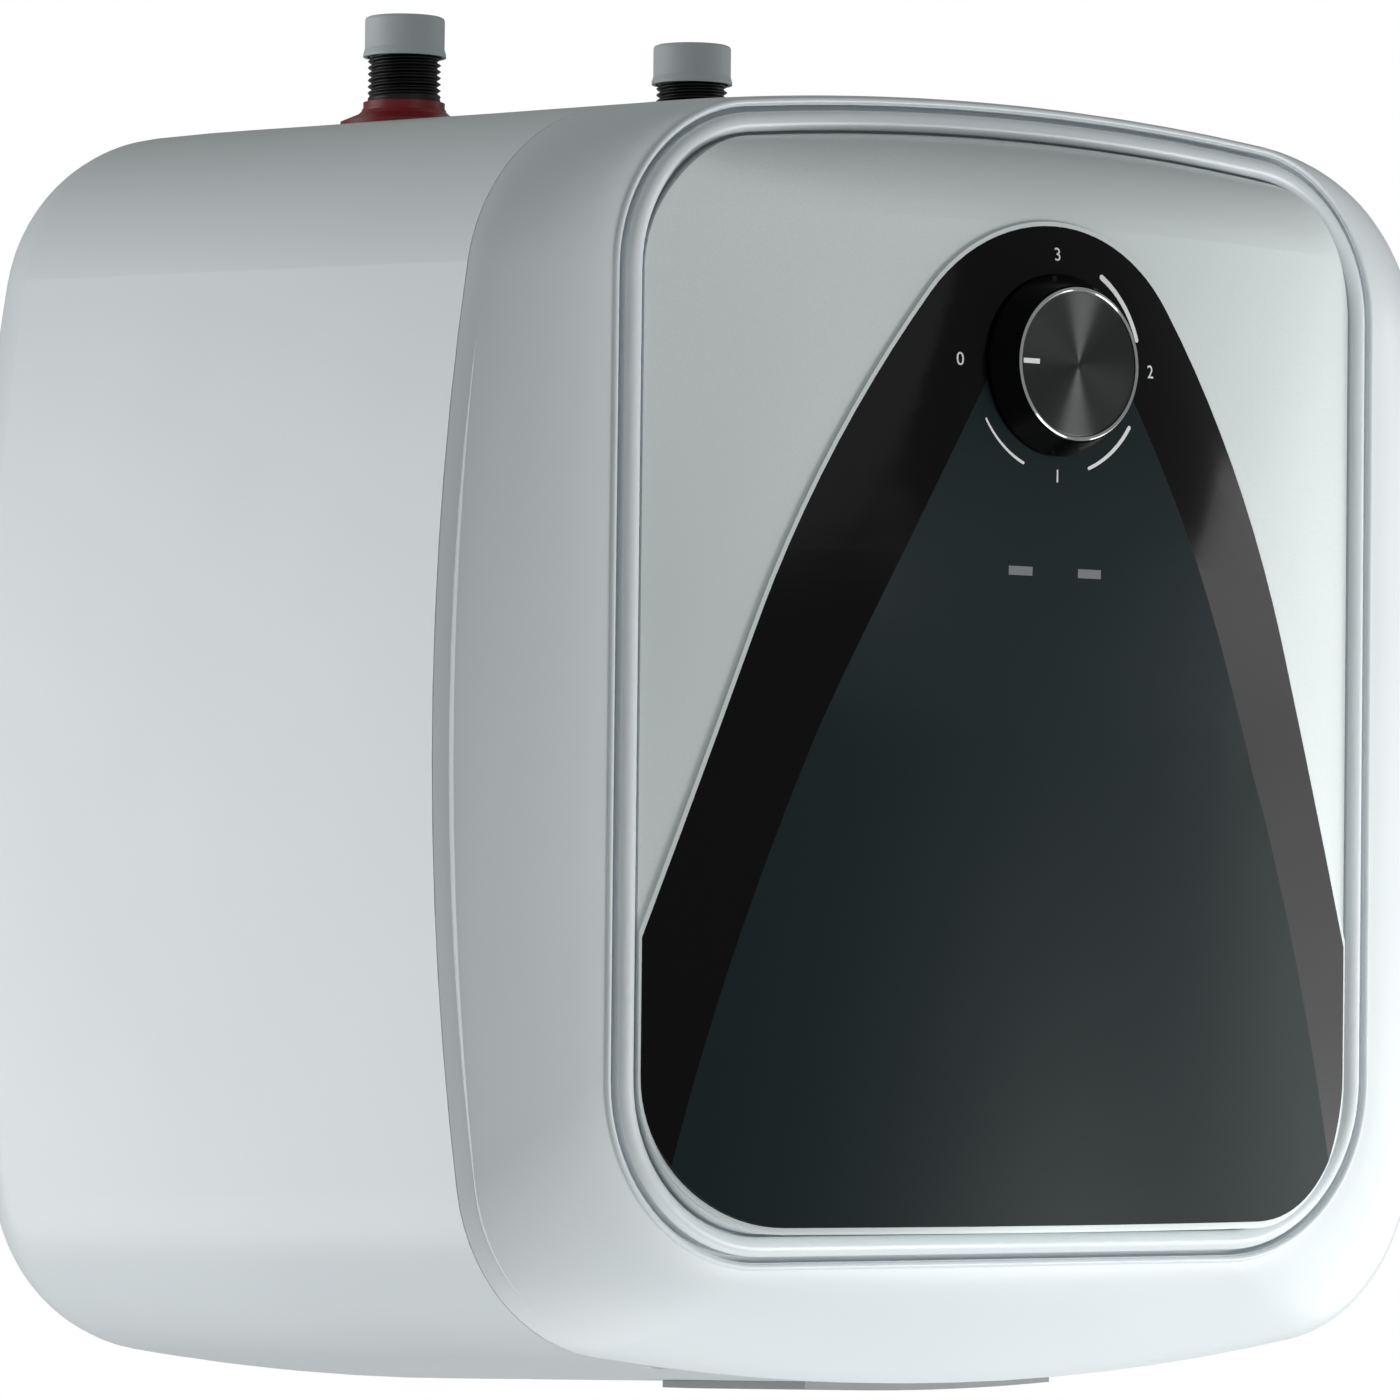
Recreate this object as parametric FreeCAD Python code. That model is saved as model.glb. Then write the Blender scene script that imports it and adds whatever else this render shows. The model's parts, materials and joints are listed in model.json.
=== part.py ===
"""Kitchen water heater: a ten litre storage heater that hangs on the wall, in millimetres.

+Z is up, the control panel faces -Y and the wall is at +Y. The origin lies midway between the
two slots of the hanger rail, on the rail's wall face.
"""
import FreeCAD
import Part
import math
import os

# Hanger rail and what stands the case off the wall
rail_standoff = 12.0
rail_steel = 2.0
rail_length = 210.0
rail_web = 36.0
rail_foot = 22.0
slot_spacing = 150.0
slot_width = 8.0
slot_length = 20.0
rail_stud_spacing = 170.0
stud_radius = 3.0
bracket_thickness = 2.5
bracket_margin = 10.0
bracket_leg_radius = 8.0
bracket_leg_side = 60.0
bracket_leg_inset = 1.0
bracket_leg_root = 40.0
bracket_leg_gap = 0.5
spacer_radius = 12.0
spacer_spacing = 200.0
spacer_below_middle = 115.0
spacer_peg_radius = 3.5

# Rear case: a square section with bowed sides that flares towards the wall
case_depth = 236.0
case_half_front = 172.5
case_half_rear = 181.0
slot_above_middle = case_half_rear - 81.0
case_side_radius = 765.0
case_corner_radius = 52.0
case_back_round = 32.0
case_wall = 2.6
joint_gap = 0.5

# Front cover, from the joint to its lip, and the tongue that enters the rear case
cover_depth = 19.5
cover_fullness = 1.25
cover_wall = 2.6
tongue_depth = 10.0
tongue_thickness = 2.2
fit_gap = 0.3
lip_width = 2.2
lip_bead_radius = 0.9
hollow_spread = 9.0
seat_depth = 3.5
deck_width = 22.0
deck_thickness = 2.6

# Bezel: the groove's outline between the cover's lip and the trim ring
bezel_half_width = 128.0
bezel_top = 167.7
bezel_bottom = 137.9
bezel_top_radius = 840.0
bezel_upper_corner = 44.0
bezel_lower_corner = 47.0
straight_radius = 60000.0
groove_width = 1.6
ring_width = 5.2
ring_rise = 2.2
ring_shoulder = 1.6
plate_gap = 0.9

# Face plate: a shallow dome that rolls in at its top edge
plate_crest = 18.8
plate_edge_rise = 0.5
plate_crown = 24.0
plate_wall = 2.5
plate_pocket = 1.0
dome_overrun = 8.0
dome_depth = 60.0
plate_boss_radius = 4.0
plate_boss_upper = 108.0
plate_boss_lower = 84.0

# Control panel: a spade outline, a flat dial and a tongue between two facets
spade_apex = 136.5
spade_apex_radius = 51.0
spade_apex_turn = 51.9
spade_side_radius = 332.0
spade_side_turn = 17.9
spade_edge_inset = 0.9
spade_bottom_inset = 2.0
panel_rise = 1.4
panel_edge_rise = 0.8
panel_bow_radius = 400.0
panel_blend_low = -5.0
panel_blend_high = 84.0
panel_crease = ((28.3, 87.5), (73.6, 0.0), (110.5, -105.0))
panel_crease_top = 108.0
panel_fade_end = 40.0
panel_fade = 0.8
band_rows_beside = 20
band_rows_over = 6
band_columns = 8
band_inner_share = -0.15
band_outer_share = 1.25
panel_patches = 3
panel_front_room = 5.0
window_play = 0.05
lens_to_board = 2.4
panel_gap = 0.15
panel_rim_width = 1.3
panel_rim_rise = 0.8
dial_height = 99.3
dial_rise = 22.0

# Knob and the thermostat behind it
knob_base_radius = 24.5
knob_face_radius = 20.4
knob_height = 8.4
knob_lift = 0.3
knob_rim_width = 1.0
knob_recess = 0.9
knob_rim_rise = 0.35
knob_wall = 2.0
knob_hub_radius = 5.6
pointer_length = 5.4
pointer_width = 1.3
panel_hole_radius = 19.0
dial_boss_radius = 21.0
dial_boss_depth = 1.9
spindle_radius = 3.0
spindle_flat = 1.6
running_gap = 0.05
thermostat_width = 38.0
thermostat_height = 44.0
thermostat_depth = 22.0
thermostat_plate_thickness = 1.2
thermostat_screw_spacing = 28.0
thermostat_bush_radius = 5.0
thermostat_bush_length = 3.0
thermostat_tab_length = 7.0

# Indicator lamps under the dial
lamp_spacing = 23.6
lamp_height = 44.3
lamp_length = 8.0
lamp_width = 2.4
lamp_led_radius = 1.9
window_gap = 0.6
board_length = 52.0
board_post_radius = 3.0
board_width = 14.0
board_thickness = 1.6
board_depth = 6.0

# Tank, lying with its axis from front to back
tank_radius = 132.0
tank_steel = 2.0
tank_rear_gap = 8.4
tank_length = 204.0
tank_head_depth = 22.0
tank_knuckle = 12.0
insulation_gap = 0.4

# Flange with the heater, the anode and the thermostat's pocket
flange_radius = 50.0
flange_bore = 36.0
flange_collar = 12.0
flange_thickness = 5.0
gasket_thickness = 1.8
flange_stud_circle = 84.0
flange_stud_count = 6
nut_height = 5.0
nut_across_flats = 10.0
element_radius = 4.0
element_leg_spacing = 24.0
element_length = 150.0
element_drop = 22.0
anode_radius = 8.0
anode_length = 105.0
anode_side = 20.0
anode_up = 12.0
pocket_radius = 5.0
pocket_wall = 1.0
pocket_length = 115.0
pocket_side = -16.0
pocket_up = 14.0
bulb_radius = 3.2
bulb_length = 85.0
capillary_radius = 1.0
capillary_bend = 5.0
lead_radius = 1.4
lead_bend = 4.0
cutout_radius = 8.0
cutout_height = 6.0
cutout_tab_length = 6.0
earth_stud_length = 9.0
element_pin_reach = 13.0

# Water connections, half inch pipe thread
pipe_spacing = 102.6
sleeve_wall = 1.6
sleeve_drop = 6.0
pipe_from_back = 43.2
pipe_radius = 10.48
pipe_bore = 7.4
pipe_top = case_half_rear + 27.3
dip_tube_radius = 6.8
dip_tube_wall = 1.0
dip_tube_bottom = 95.0
collar_radius = 18.2
collar_neck_radius = 11.7
collar_neck_top = case_half_rear + 4.0
collar_flange = 2.2
cap_radius = 11.43
cap_flare_radius = 11.9
cap_flare_height = 1.6
cap_wall = 0.65
cap_height = 11.5
cap_edge_round = 0.9
cap_lift_gap = 0.3

# Underside service plate with the terminal block, and the cord's entry in the back
service_half_width = 42.0
service_front = 10.0
service_back = 74.0
service_thickness = 2.0
service_opening_inset = 8.0
terminal_length = 46.0
terminal_width = 20.0
terminal_height = 14.0
terminal_pitch = 14.0
seat_gap = 0.1
wiring_rise = 16.0
wiring_room = 26.0
earth_lead_side = 46.0
lead_sweep = 40.0
cord_side = case_half_rear - 51.0
cord_below_middle = 80.0
cord_bush_radius = 9.0
cord_bush_flange = 12.5
cord_bush_bore = 4.2

# Small screws
screw_radius = 1.5
screw_head_radius = 2.8
screw_head_height = 2.0
sunk_head_height = 1.5

# Places worked out from the sizes above
middle_z = -slot_above_middle
over_case_z = middle_z + 1.5 * case_half_rear
in_case_top_z = middle_z + 0.8 * case_half_rear
under_case_z = middle_z - 1.5 * case_half_rear
in_case_foot_z = middle_z - 0.8 * case_half_rear
back_y = -rail_standoff
joint_y = back_y - case_depth
lip_y = joint_y - cover_depth
floor_y = lip_y + seat_depth
deck_back_y = floor_y + deck_thickness
plate_edge_y = lip_y - plate_edge_rise
crest_y = plate_edge_y - plate_crest
plate_inset = groove_width / 2 + ring_width + plate_gap
plate_half = bezel_half_width - plate_inset
plate_top = bezel_top - plate_inset
plate_bottom = bezel_bottom - plate_inset
pad_y = lip_y - dial_rise
dial_z = middle_z + dial_height
knob_base_y = pad_y - knob_lift
knob_face_y = knob_base_y - knob_height
pipe_y = back_y - pipe_from_back
sleeve_bottom = middle_z + case_half_rear - case_wall - sleeve_drop
tank_rear_y = back_y - case_wall - tank_rear_gap
tank_front_y = tank_rear_y - tank_length
flange_face_y = tank_front_y - flange_collar + 3.0
gasket_front_y = flange_face_y - gasket_thickness
flange_front_y = gasket_front_y - flange_thickness


def vec(x, y, z):
    return FreeCAD.Vector(x, y, z)


def box(x0, x1, y0, y1, z0, z1):
    return Part.makeBox(x1 - x0, y1 - y0, z1 - z0, vec(x0, y0, z0))


def rod_y(x, z, radius, y0, y1):
    """A round bar along Y from y0 to y1."""
    return Part.makeCylinder(radius, y1 - y0, vec(x, y0, z), vec(0, 1, 0))


def rod_z(x, y, radius, z0, z1):
    """A round bar along Z from z0 to z1."""
    return Part.makeCylinder(radius, z1 - z0, vec(x, y, z0), vec(0, 0, 1))


def turned(points, centre, axis, angle=360):
    """A solid turned from a closed profile of points about an axis through the centre."""
    face = Part.Face(Part.makePolygon(points + [points[0]]))
    return face.revolve(centre, axis, angle)


def hex_nut(x, y0, z, height, across, hole):
    """A hexagonal nut along Y whose front face is at y0."""
    corner = across / 2 / math.cos(math.radians(30))
    points = [vec(x + corner * math.cos(math.radians(60 * i)), y0,
                  z + corner * math.sin(math.radians(60 * i))) for i in range(7)]
    nut = Part.Face(Part.makePolygon(points)).extrude(vec(0, height, 0))
    return nut.cut(rod_y(x, z, hole, y0, y0 + height))


def arc_in_plane(y, cx, cz, radius, start, end):
    """An arc in a plane of constant y, with its angles in radians from +X towards +Z."""
    def point(angle):
        return vec(cx + radius * math.cos(angle), y, middle_z + cz + radius * math.sin(angle))
    return Part.Arc(point(start), point((start + end) / 2), point(end)).toShape()


def corner_centre(side_x, side_z, side_r, top_z, top_r, corner_r):
    """The centre of a corner arc that meets a side arc and a top arc smoothly."""
    r1 = side_r - corner_r
    r2 = top_r - corner_r
    dx = -side_x
    dz = top_z - side_z
    apart = math.hypot(dx, dz)
    along = (r1 * r1 - r2 * r2 + apart * apart) / (2 * apart)
    across = math.sqrt(r1 * r1 - along * along)
    ux = dx / apart
    uz = dz / apart
    return side_x + along * ux + across * abs(uz), side_z + along * uz + across * abs(ux)


def outline(y, size, grow=0.0):
    """A closed wire of eight tangent arcs in a plane of constant y.

    size holds the half width, the top, the bottom, the radii of the side, top and bottom
    and the radii of the upper and lower corners. grow moves the whole outline outwards.
    """
    half, top, bottom, side_r, top_r, bottom_r, upper_r, lower_r = [value + grow for value in size]
    side_x = half - side_r
    side_z = (top - bottom) / 2
    ux, uz = corner_centre(side_x, side_z, side_r, top - top_r, top_r, upper_r)
    lx, lz = corner_centre(side_x, -side_z, side_r, bottom - bottom_r, bottom_r, lower_r)
    up_side = math.atan2(uz - side_z, ux - side_x)
    up_top = math.atan2(uz - (top - top_r), ux)
    low_side = math.atan2(lz + side_z, lx - side_x)
    low_bottom = math.atan2(lz - (bottom - bottom_r), lx)
    pi = math.pi
    edges = [
        arc_in_plane(y, side_x, side_z, side_r, -low_side, up_side),
        arc_in_plane(y, ux, uz, upper_r, up_side, up_top),
        arc_in_plane(y, 0, top - top_r, top_r, up_top, pi - up_top),
        arc_in_plane(y, -ux, uz, upper_r, pi - up_top, pi - up_side),
        arc_in_plane(y, -side_x, side_z, side_r, pi - up_side, pi + low_side),
        arc_in_plane(y, -lx, -lz, lower_r, pi + low_side, pi + low_bottom),
        arc_in_plane(y, 0, bottom_r - bottom, bottom_r, pi + low_bottom, 2 * pi - low_bottom),
        arc_in_plane(y, lx, -lz, lower_r, 2 * pi - low_bottom, 2 * pi - low_side),
    ]
    return Part.Wire(edges)


def case_size(half):
    return [half, half, half] + [case_side_radius] * 3 + [case_corner_radius] * 2


def bezel_size():
    return [bezel_half_width, bezel_top, bezel_bottom, straight_radius, bezel_top_radius,
            straight_radius, bezel_upper_corner, bezel_lower_corner]


def case_wire(y, inset):
    """The case's section at a depth, offset inwards: it flares, then rounds in at the back."""
    round_y = back_y - case_back_round
    share = (y - joint_y) / (round_y - joint_y)
    half = case_half_front + (case_half_rear - case_half_front) * share
    shrink = inset
    if y > round_y:
        radius = case_back_round - inset
        shrink += radius - math.sqrt(max(0.0, radius ** 2 - (y - round_y) ** 2))
    return outline(y, case_size(half), -shrink)


def case_block(inset, front, back=None):
    """The solid inside the case's skin, offset inwards, from a front plane to a back plane."""
    if back is not None:
        return Part.makeLoft([case_wire(front, inset), case_wire(back, inset)], True, True)
    round_y = back_y - case_back_round
    radius = case_back_round - inset
    flare = Part.makeLoft([case_wire(front, inset), case_wire(round_y, inset)], True, True)
    depths = [round_y + radius * math.sin(math.radians(a)) for a in (0, 18, 36, 54, 72, 90)]
    rounding = Part.makeLoft([case_wire(y, inset) for y in depths], True, False)
    return flare.fuse(rounding)


def foam_block(front):
    """The foam's outside behind a front plane: the case's inside, with its back edge bevelled."""
    inset = case_wall + insulation_gap
    bevel_y = back_y - case_back_round
    flare = Part.makeLoft([case_wire(front, inset), case_wire(bevel_y, inset)], True, True)
    bevel = Part.makeLoft([case_wire(bevel_y, inset), case_wire(back_y - inset, inset)], True, True)
    return flare.fuse(bevel)


def bezel_prism(grow, y0, y1):
    return Part.Face(outline(y0, bezel_size(), grow)).extrude(vec(0, y1 - y0, 0))


def blend_size(first, second, share):
    """Sizes between two outlines: lengths go in proportion, and radii by their curvature."""
    lengths = [a + (b - a) * share for a, b in zip(first[:3], second[:3])]
    bows = [1 / ((1 - share) / a + share / b) for a, b in zip(first[3:6], second[3:6])]
    corners = [a + (b - a) * share for a, b in zip(first[6:], second[6:])]
    return lengths + bows + corners


def cover_block(inset, last, depth):
    """The solid under the cover's slope, from the joint to an outline round the bezel."""
    first = [value - inset for value in case_size(case_half_front)]
    wires = []
    for step in range(7):
        angle = math.radians(15 * step)
        share = 1 - math.cos(angle) ** (2 / cover_fullness) if step < 6 else 1.0
        y = joint_y - joint_gap - (depth - joint_gap) * math.sin(angle) ** (2 / cover_fullness)
        wires.append(outline(y, blend_size(first, last, share)))
    return Part.makeLoft(wires, True, False)


def swept(path, profile):
    """A ring or a tube: a closed profile carried along a path."""
    return path.makePipe(Part.Face(profile))


def make_rear_case():
    shell = case_block(0.0, joint_y).cut(case_block(case_wall, joint_y - 2.0))
    for side in (-1, 1):
        x = side * pipe_spacing / 2
        shell = shell.cut(rod_z(x, pipe_y, pipe_radius + sleeve_wall + 0.2, in_case_top_z, over_case_z))
    inner_back = back_y - case_wall
    for x, z in rail_stud_places():
        shell = shell.cut(rod_y(x, z, stud_radius + 0.2, inner_back - 1, back_y + 1))
    for x, z in spacer_places():
        shell = shell.cut(rod_y(x, z, spacer_peg_radius, inner_back - 1, back_y + 1))
    shell = shell.cut(rod_y(cord_side, middle_z - cord_below_middle, cord_bush_radius,
                            inner_back - 1, back_y + 1))
    shell = shell.cut(service_box(service_opening_inset, under_case_z, in_case_foot_z))
    for x, y in service_screw_places():
        shell = shell.cut(rod_z(x, y, screw_radius + 0.1, under_case_z, in_case_foot_z))
    for x in cover_screw_places():
        shell = shell.cut(sunk_hole(x, joint_y + tongue_depth / 2, cover_screw_seat(x), 8.0))
    return shell


def rail_stud_places():
    across = rail_web / 2 + rail_foot / 2
    return [(sx * rail_stud_spacing / 2, sz * across) for sx in (-1, 1) for sz in (-1, 1)]


def spacer_places():
    return [(sx * spacer_spacing / 2, middle_z - spacer_below_middle) for sx in (-1, 1)]


def service_box(inset, z0, z1):
    half = service_half_width - inset
    return box(-half, half, joint_y + service_front + inset, joint_y + service_back - inset, z0, z1)


def service_screw_places():
    y = joint_y + (service_front + service_back) / 2
    return [(sx * (service_half_width - service_opening_inset / 2), y) for sx in (-1, 1)]


def cover_screw_places():
    return [-95.0, 0.0, 95.0]


def make_front_cover():
    lip = [value + groove_width / 2 + lip_width for value in bezel_size()]
    outer = cover_block(0.0, lip, cover_depth)
    hollow = [value + hollow_spread for value in bezel_size()]
    hollow[1] = bezel_top
    inner = cover_block(cover_wall, hollow, cover_depth - seat_depth - deck_thickness)
    path = outline(lip_y, bezel_size(), groove_width / 2 + lip_width / 2)
    start = path.Vertexes[0].Point
    bead = swept(path, Part.Wire(Part.Circle(start, vec(0, 0, 1), lip_bead_radius).toShape()))
    cover = outer.cut(inner).fuse(bead)
    cover = cover.cut(bezel_prism(groove_width / 2, lip_y - 5, floor_y))
    cover = cover.cut(bezel_prism(-deck_width, lip_y - 5, joint_y + 5))
    tongue_outer = case_wall + fit_gap
    tongue_inner = tongue_outer + tongue_thickness
    root_y = joint_y - 4.0
    tongue = case_block(tongue_outer, root_y, joint_y + tongue_depth)
    tongue = tongue.cut(case_block(tongue_inner, root_y - 1, joint_y + tongue_depth + 1))
    cover = cover.fuse(tongue)
    for x in cover_screw_places():
        y = joint_y + tongue_depth / 2
        seat = cover_screw_seat(x)
        boss = rod_z(x, y, tongue_depth / 2 + 1.5, seat, seat + 13.0)
        cover = cover.fuse(boss.common(case_block(tongue_outer, root_y, joint_y + tongue_depth)))
        cover = cover.cut(rod_z(x, y, screw_radius, seat, seat + 11.5))
    for x, z in plate_boss_places():
        cover = cover.cut(rod_y(x, z, screw_radius + 0.1, floor_y - 1, deck_back_y + 1))
    return cover


def plate_boss_places():
    x = plate_half - plate_wall - plate_boss_radius - 1.5
    return [(sx * x, middle_z + z) for sx in (-1, 1) for z in (plate_boss_upper, -plate_boss_lower)]


def make_trim_ring():
    path = outline(floor_y, bezel_size(), -groove_width / 2 - ring_width / 2)
    start = path.Vertexes[0].Point
    half = ring_width / 2
    shoulder_y = lip_y - ring_rise + ring_shoulder
    crown = lip_y - ring_rise

    def at(x, y):
        return vec(start.x + x, y, start.z)
    profile = Part.Wire([
        Part.LineSegment(at(-half, floor_y), at(half, floor_y)).toShape(),
        Part.LineSegment(at(half, floor_y), at(half, shoulder_y)).toShape(),
        Part.Arc(at(half, shoulder_y), at(0, crown), at(-half, shoulder_y)).toShape(),
        Part.LineSegment(at(-half, shoulder_y), at(-half, floor_y)).toShape(),
    ])
    return swept(path, profile)


def plate_depth(x):
    """The y of the face plate's dome at a distance from the middle, below its crown."""
    return crest_y + plate_crest * (x / plate_half) ** 2


def plate_dome(lift):
    """The space behind the face plate's surface, lifted off it by a distance.

    Below the crown the surface is a parabolic cylinder. The crown is a quarter ellipse whose
    top edge follows the bezel's arch.
    """
    reach = plate_half + dome_overrun
    bottom = middle_z - bezel_bottom - dome_overrun
    start = middle_z + plate_top - plate_crown
    top = middle_z + plate_top + lift
    arch = reach ** 2 / (2 * bezel_top_radius)
    side_y = plate_depth(reach) - lift
    mid_y = 2 * (crest_y - lift) - side_y
    poles = [(-reach, side_y, -arch), (0, mid_y, arch), (reach, side_y, -arch)]
    bow = Part.BezierCurve()
    bow.setPoles([vec(x, y, bottom) for x, y, bend in poles])
    lower = bow.toShape().extrude(vec(0, 0, start - bottom))
    crown = Part.BezierSurface()
    crown.increase(2, 2)
    for i, (x, y, bend) in enumerate(poles, 1):
        crown.setPole(i, 1, vec(x, y, start))
        crown.setPole(i, 2, vec(x, y, top + bend))
        crown.setPole(i, 3, vec(x, plate_edge_y, top + bend))
        crown.setWeight(i, 2, math.sqrt(0.5))
    back = vec(0, dome_depth, 0)
    return lower.extrude(back).fuse(crown.toShape().extrude(back))


def spade_wire(y, grow):
    """The control panel's outline: an arched top, leaning sides and a foot as wide as the plate."""
    half = plate_half - spade_edge_inset + grow
    bottom = middle_z - (plate_bottom - spade_bottom_inset) - grow
    corner = bezel_lower_corner - plate_inset - spade_edge_inset + grow
    turn_1 = math.radians(spade_apex_turn)
    turn_2 = turn_1 + math.radians(spade_side_turn)
    apex_r = spade_apex_radius + grow
    side_r = spade_side_radius + grow
    apex_z = middle_z + spade_apex - spade_apex_radius

    def on_arc(cx, cz, radius, turn):
        return vec(cx + radius * math.sin(turn), y, cz + radius * math.cos(turn))
    side_cx = -(spade_side_radius - spade_apex_radius) * math.sin(turn_1)
    side_cz = apex_z - (spade_side_radius - spade_apex_radius) * math.cos(turn_1)
    top = on_arc(0, apex_z, apex_r, 0)
    shoulder = on_arc(0, apex_z, apex_r, turn_1)
    hip = on_arc(side_cx, side_cz, side_r, turn_2)
    knee = vec(half, y, hip.z - (half - hip.x) * math.tan(turn_2))
    ankle = vec(half, y, bottom + corner)
    heel = vec(half - corner, y, bottom)
    mid_corner = vec(half - corner * (1 - math.sqrt(0.5)), y, bottom + corner * (1 - math.sqrt(0.5)))
    right = [
        Part.Arc(top, on_arc(0, apex_z, apex_r, turn_1 / 2), shoulder).toShape(),
        Part.Arc(shoulder, on_arc(side_cx, side_cz, side_r, (turn_1 + turn_2) / 2), hip).toShape(),
        Part.LineSegment(hip, knee).toShape(),
        Part.LineSegment(knee, ankle).toShape(),
        Part.Arc(ankle, mid_corner, heel).toShape(),
    ]
    left = [edge.mirror(vec(0, 0, 0), vec(1, 0, 0)) for edge in right]
    foot = Part.LineSegment(heel, vec(-heel.x, y, bottom)).toShape()
    return Part.Wire(Part.__sortEdges__(right + [foot] + left))


def spade_prism(grow, y0, y1):
    return Part.Face(spade_wire(y0, grow)).extrude(vec(0, y1 - y0, 0))


def make_face_plate():
    front = crest_y - 10
    plate = bezel_prism(-plate_inset, front, floor_y).common(plate_dome(0.0))
    pocket = spade_prism(panel_gap, front, floor_y - 1).cut(plate_dome(-plate_pocket))
    plate = plate.cut(pocket)
    rim = spade_prism(panel_rim_width, front, floor_y - 1).cut(spade_prism(panel_gap, front, floor_y))
    rim = rim.common(plate_dome(panel_rim_rise)).common(bezel_prism(-plate_inset, front, floor_y))
    rim = rim.cut(plate_dome(-plate_pocket))
    plate = plate.fuse(rim)
    hollow = bezel_prism(-plate_inset - plate_wall, front, floor_y + 1)
    plate = plate.cut(hollow.common(plate_dome(-plate_wall)))
    dial_front = crest_y + dial_boss_depth
    plate = plate.fuse(rod_y(0, dial_z, dial_boss_radius + 2, dial_front, dial_front + plate_wall))
    plate = plate.cut(rod_y(0, dial_z, dial_boss_radius, front, dial_front))
    inside = plate_dome(-plate_pocket - 0.5)
    posts = [rod_y(x, z, plate_boss_radius, crest_y, floor_y) for x, z in plate_boss_places()]
    posts += [rod_y(x, z, board_post_radius, crest_y, board_front_y()) for x, z in board_screw_places()]
    for post in posts:
        plate = plate.fuse(post.common(inside))
    holes = [rod_y(x, z, screw_radius, floor_y - 3.4, floor_y + 1) for x, z in plate_boss_places()]
    holes += [rod_y(x, z, screw_radius - 0.3, board_front_y() - 3, board_front_y() + 1)
              for x, z in board_screw_places()]
    holes += [lens_bar(side, window_gap, front, board_front_y()) for side in (-1, 1)]
    holes += [rod_y(x, dial_z, 2.1, front, thermostat_front_y() + 1) for x in thermostat_screw_places()]
    holes.append(rod_y(0, dial_z, thermostat_bush_radius + 0.3, front, thermostat_front_y() + 1))
    for hole in holes:
        plate = plate.cut(hole)
    return plate


def board_screw_places():
    return [(side * (board_length / 2 - 5), middle_z + lamp_height) for side in (-1, 1)]


def thermostat_screw_places():
    return [side * thermostat_screw_spacing / 2 for side in (-1, 1)]


def board_front_y():
    """The front face of the indicator board, behind the crest of the face plate."""
    return crest_y + plate_wall + board_depth


def lozenge(x, z, length, width, y0, y1):
    """A round-ended bar along Y."""
    radius = width / 2
    reach = length / 2 - radius
    edges = [
        Part.LineSegment(vec(x - reach, y0, z + radius), vec(x + reach, y0, z + radius)).toShape(),
        Part.Arc(vec(x + reach, y0, z + radius), vec(x + reach + radius, y0, z),
                 vec(x + reach, y0, z - radius)).toShape(),
        Part.LineSegment(vec(x + reach, y0, z - radius), vec(x - reach, y0, z - radius)).toShape(),
        Part.Arc(vec(x - reach, y0, z - radius), vec(x - reach - radius, y0, z),
                 vec(x - reach, y0, z + radius)).toShape(),
    ]
    return Part.Face(Part.Wire(edges)).extrude(vec(0, y1 - y0, 0))


def lens_bar(side, grow, y0, y1):
    """One of the two lamp windows, carried along Y."""
    x = side * lamp_spacing / 2
    z = middle_z + lamp_height
    half_length = lamp_length / 2 + grow
    half_width = lamp_width / 2 + grow
    return box(x - half_length, x + half_length, y0, y1, z - half_width, z + half_width)


def tongue_y(x, z):
    """The y of the control panel's tongue: bowed at its foot, and flat where it meets the dial."""
    bowed = crest_y - panel_rise + x ** 2 / (2 * panel_bow_radius)
    share = (z - middle_z - panel_blend_low) / (panel_blend_high - panel_blend_low)
    share = min(1.0, max(0.0, share))
    share = share * share * (3 - 2 * share)
    return bowed + (pad_y - bowed) * share


def skin_through(rows):
    """A smooth face through rows of points."""
    surface = Part.BSplineSurface()
    surface.interpolate(rows)
    return surface.toShape()


def panel_front_block():
    """The space behind the tongue's surface, carried on to either side of it.

    Across, the surface is a parabola. Upward it is level, then a cubic from the bow to the
    dial's plane, then level, which 8 rows of poles hold exactly.
    """
    reach = plate_half + dome_overrun
    foot = middle_z - bezel_bottom - dome_overrun
    low = middle_z + panel_blend_low
    high = middle_z + panel_blend_high
    top = middle_z + spade_apex + dome_overrun
    heights = [foot, foot + (low - foot) / 3, low - (low - foot) / 3, low + (high - low) / 3,
               high - (high - low) / 3, high + (top - high) / 3, top - (top - high) / 3, top]
    shares = [0, 0, 0, 0, 1, 1, 1, 1]
    bow = reach ** 2 / (2 * panel_bow_radius)
    poles = []
    for x, bend in ((-reach, bow), (0, -bow), (reach, bow)):
        bowed = crest_y - panel_rise + bend
        poles.append([vec(x, bowed + (pad_y - bowed) * share, z) for z, share in zip(heights, shares)])
    surface = Part.BSplineSurface()
    surface.buildFromPolesMultsKnots(poles, (3, 3), (4, 2, 2, 4), (0, 1), (foot, low, high, top),
                                     False, False, 2, 3)
    return surface.toShape().extrude(vec(0, dome_depth, 0))


def crease_at(z):
    """The crease beside the tongue, a parabola through three points: its x, and its lean outward."""
    (x0, z0), (x1, z1), (x2, z2) = panel_crease
    slope_a = (x1 - x0) / (z0 - z1)
    slope_b = (x2 - x1) / (z1 - z2)
    bend = (slope_b - slope_a) / (z0 - z2)
    drop = z0 - z
    x = x0 + slope_a * drop + bend * drop * (drop - (z0 - z1))
    return x, slope_a + bend * (2 * drop - (z0 - z1))


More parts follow.
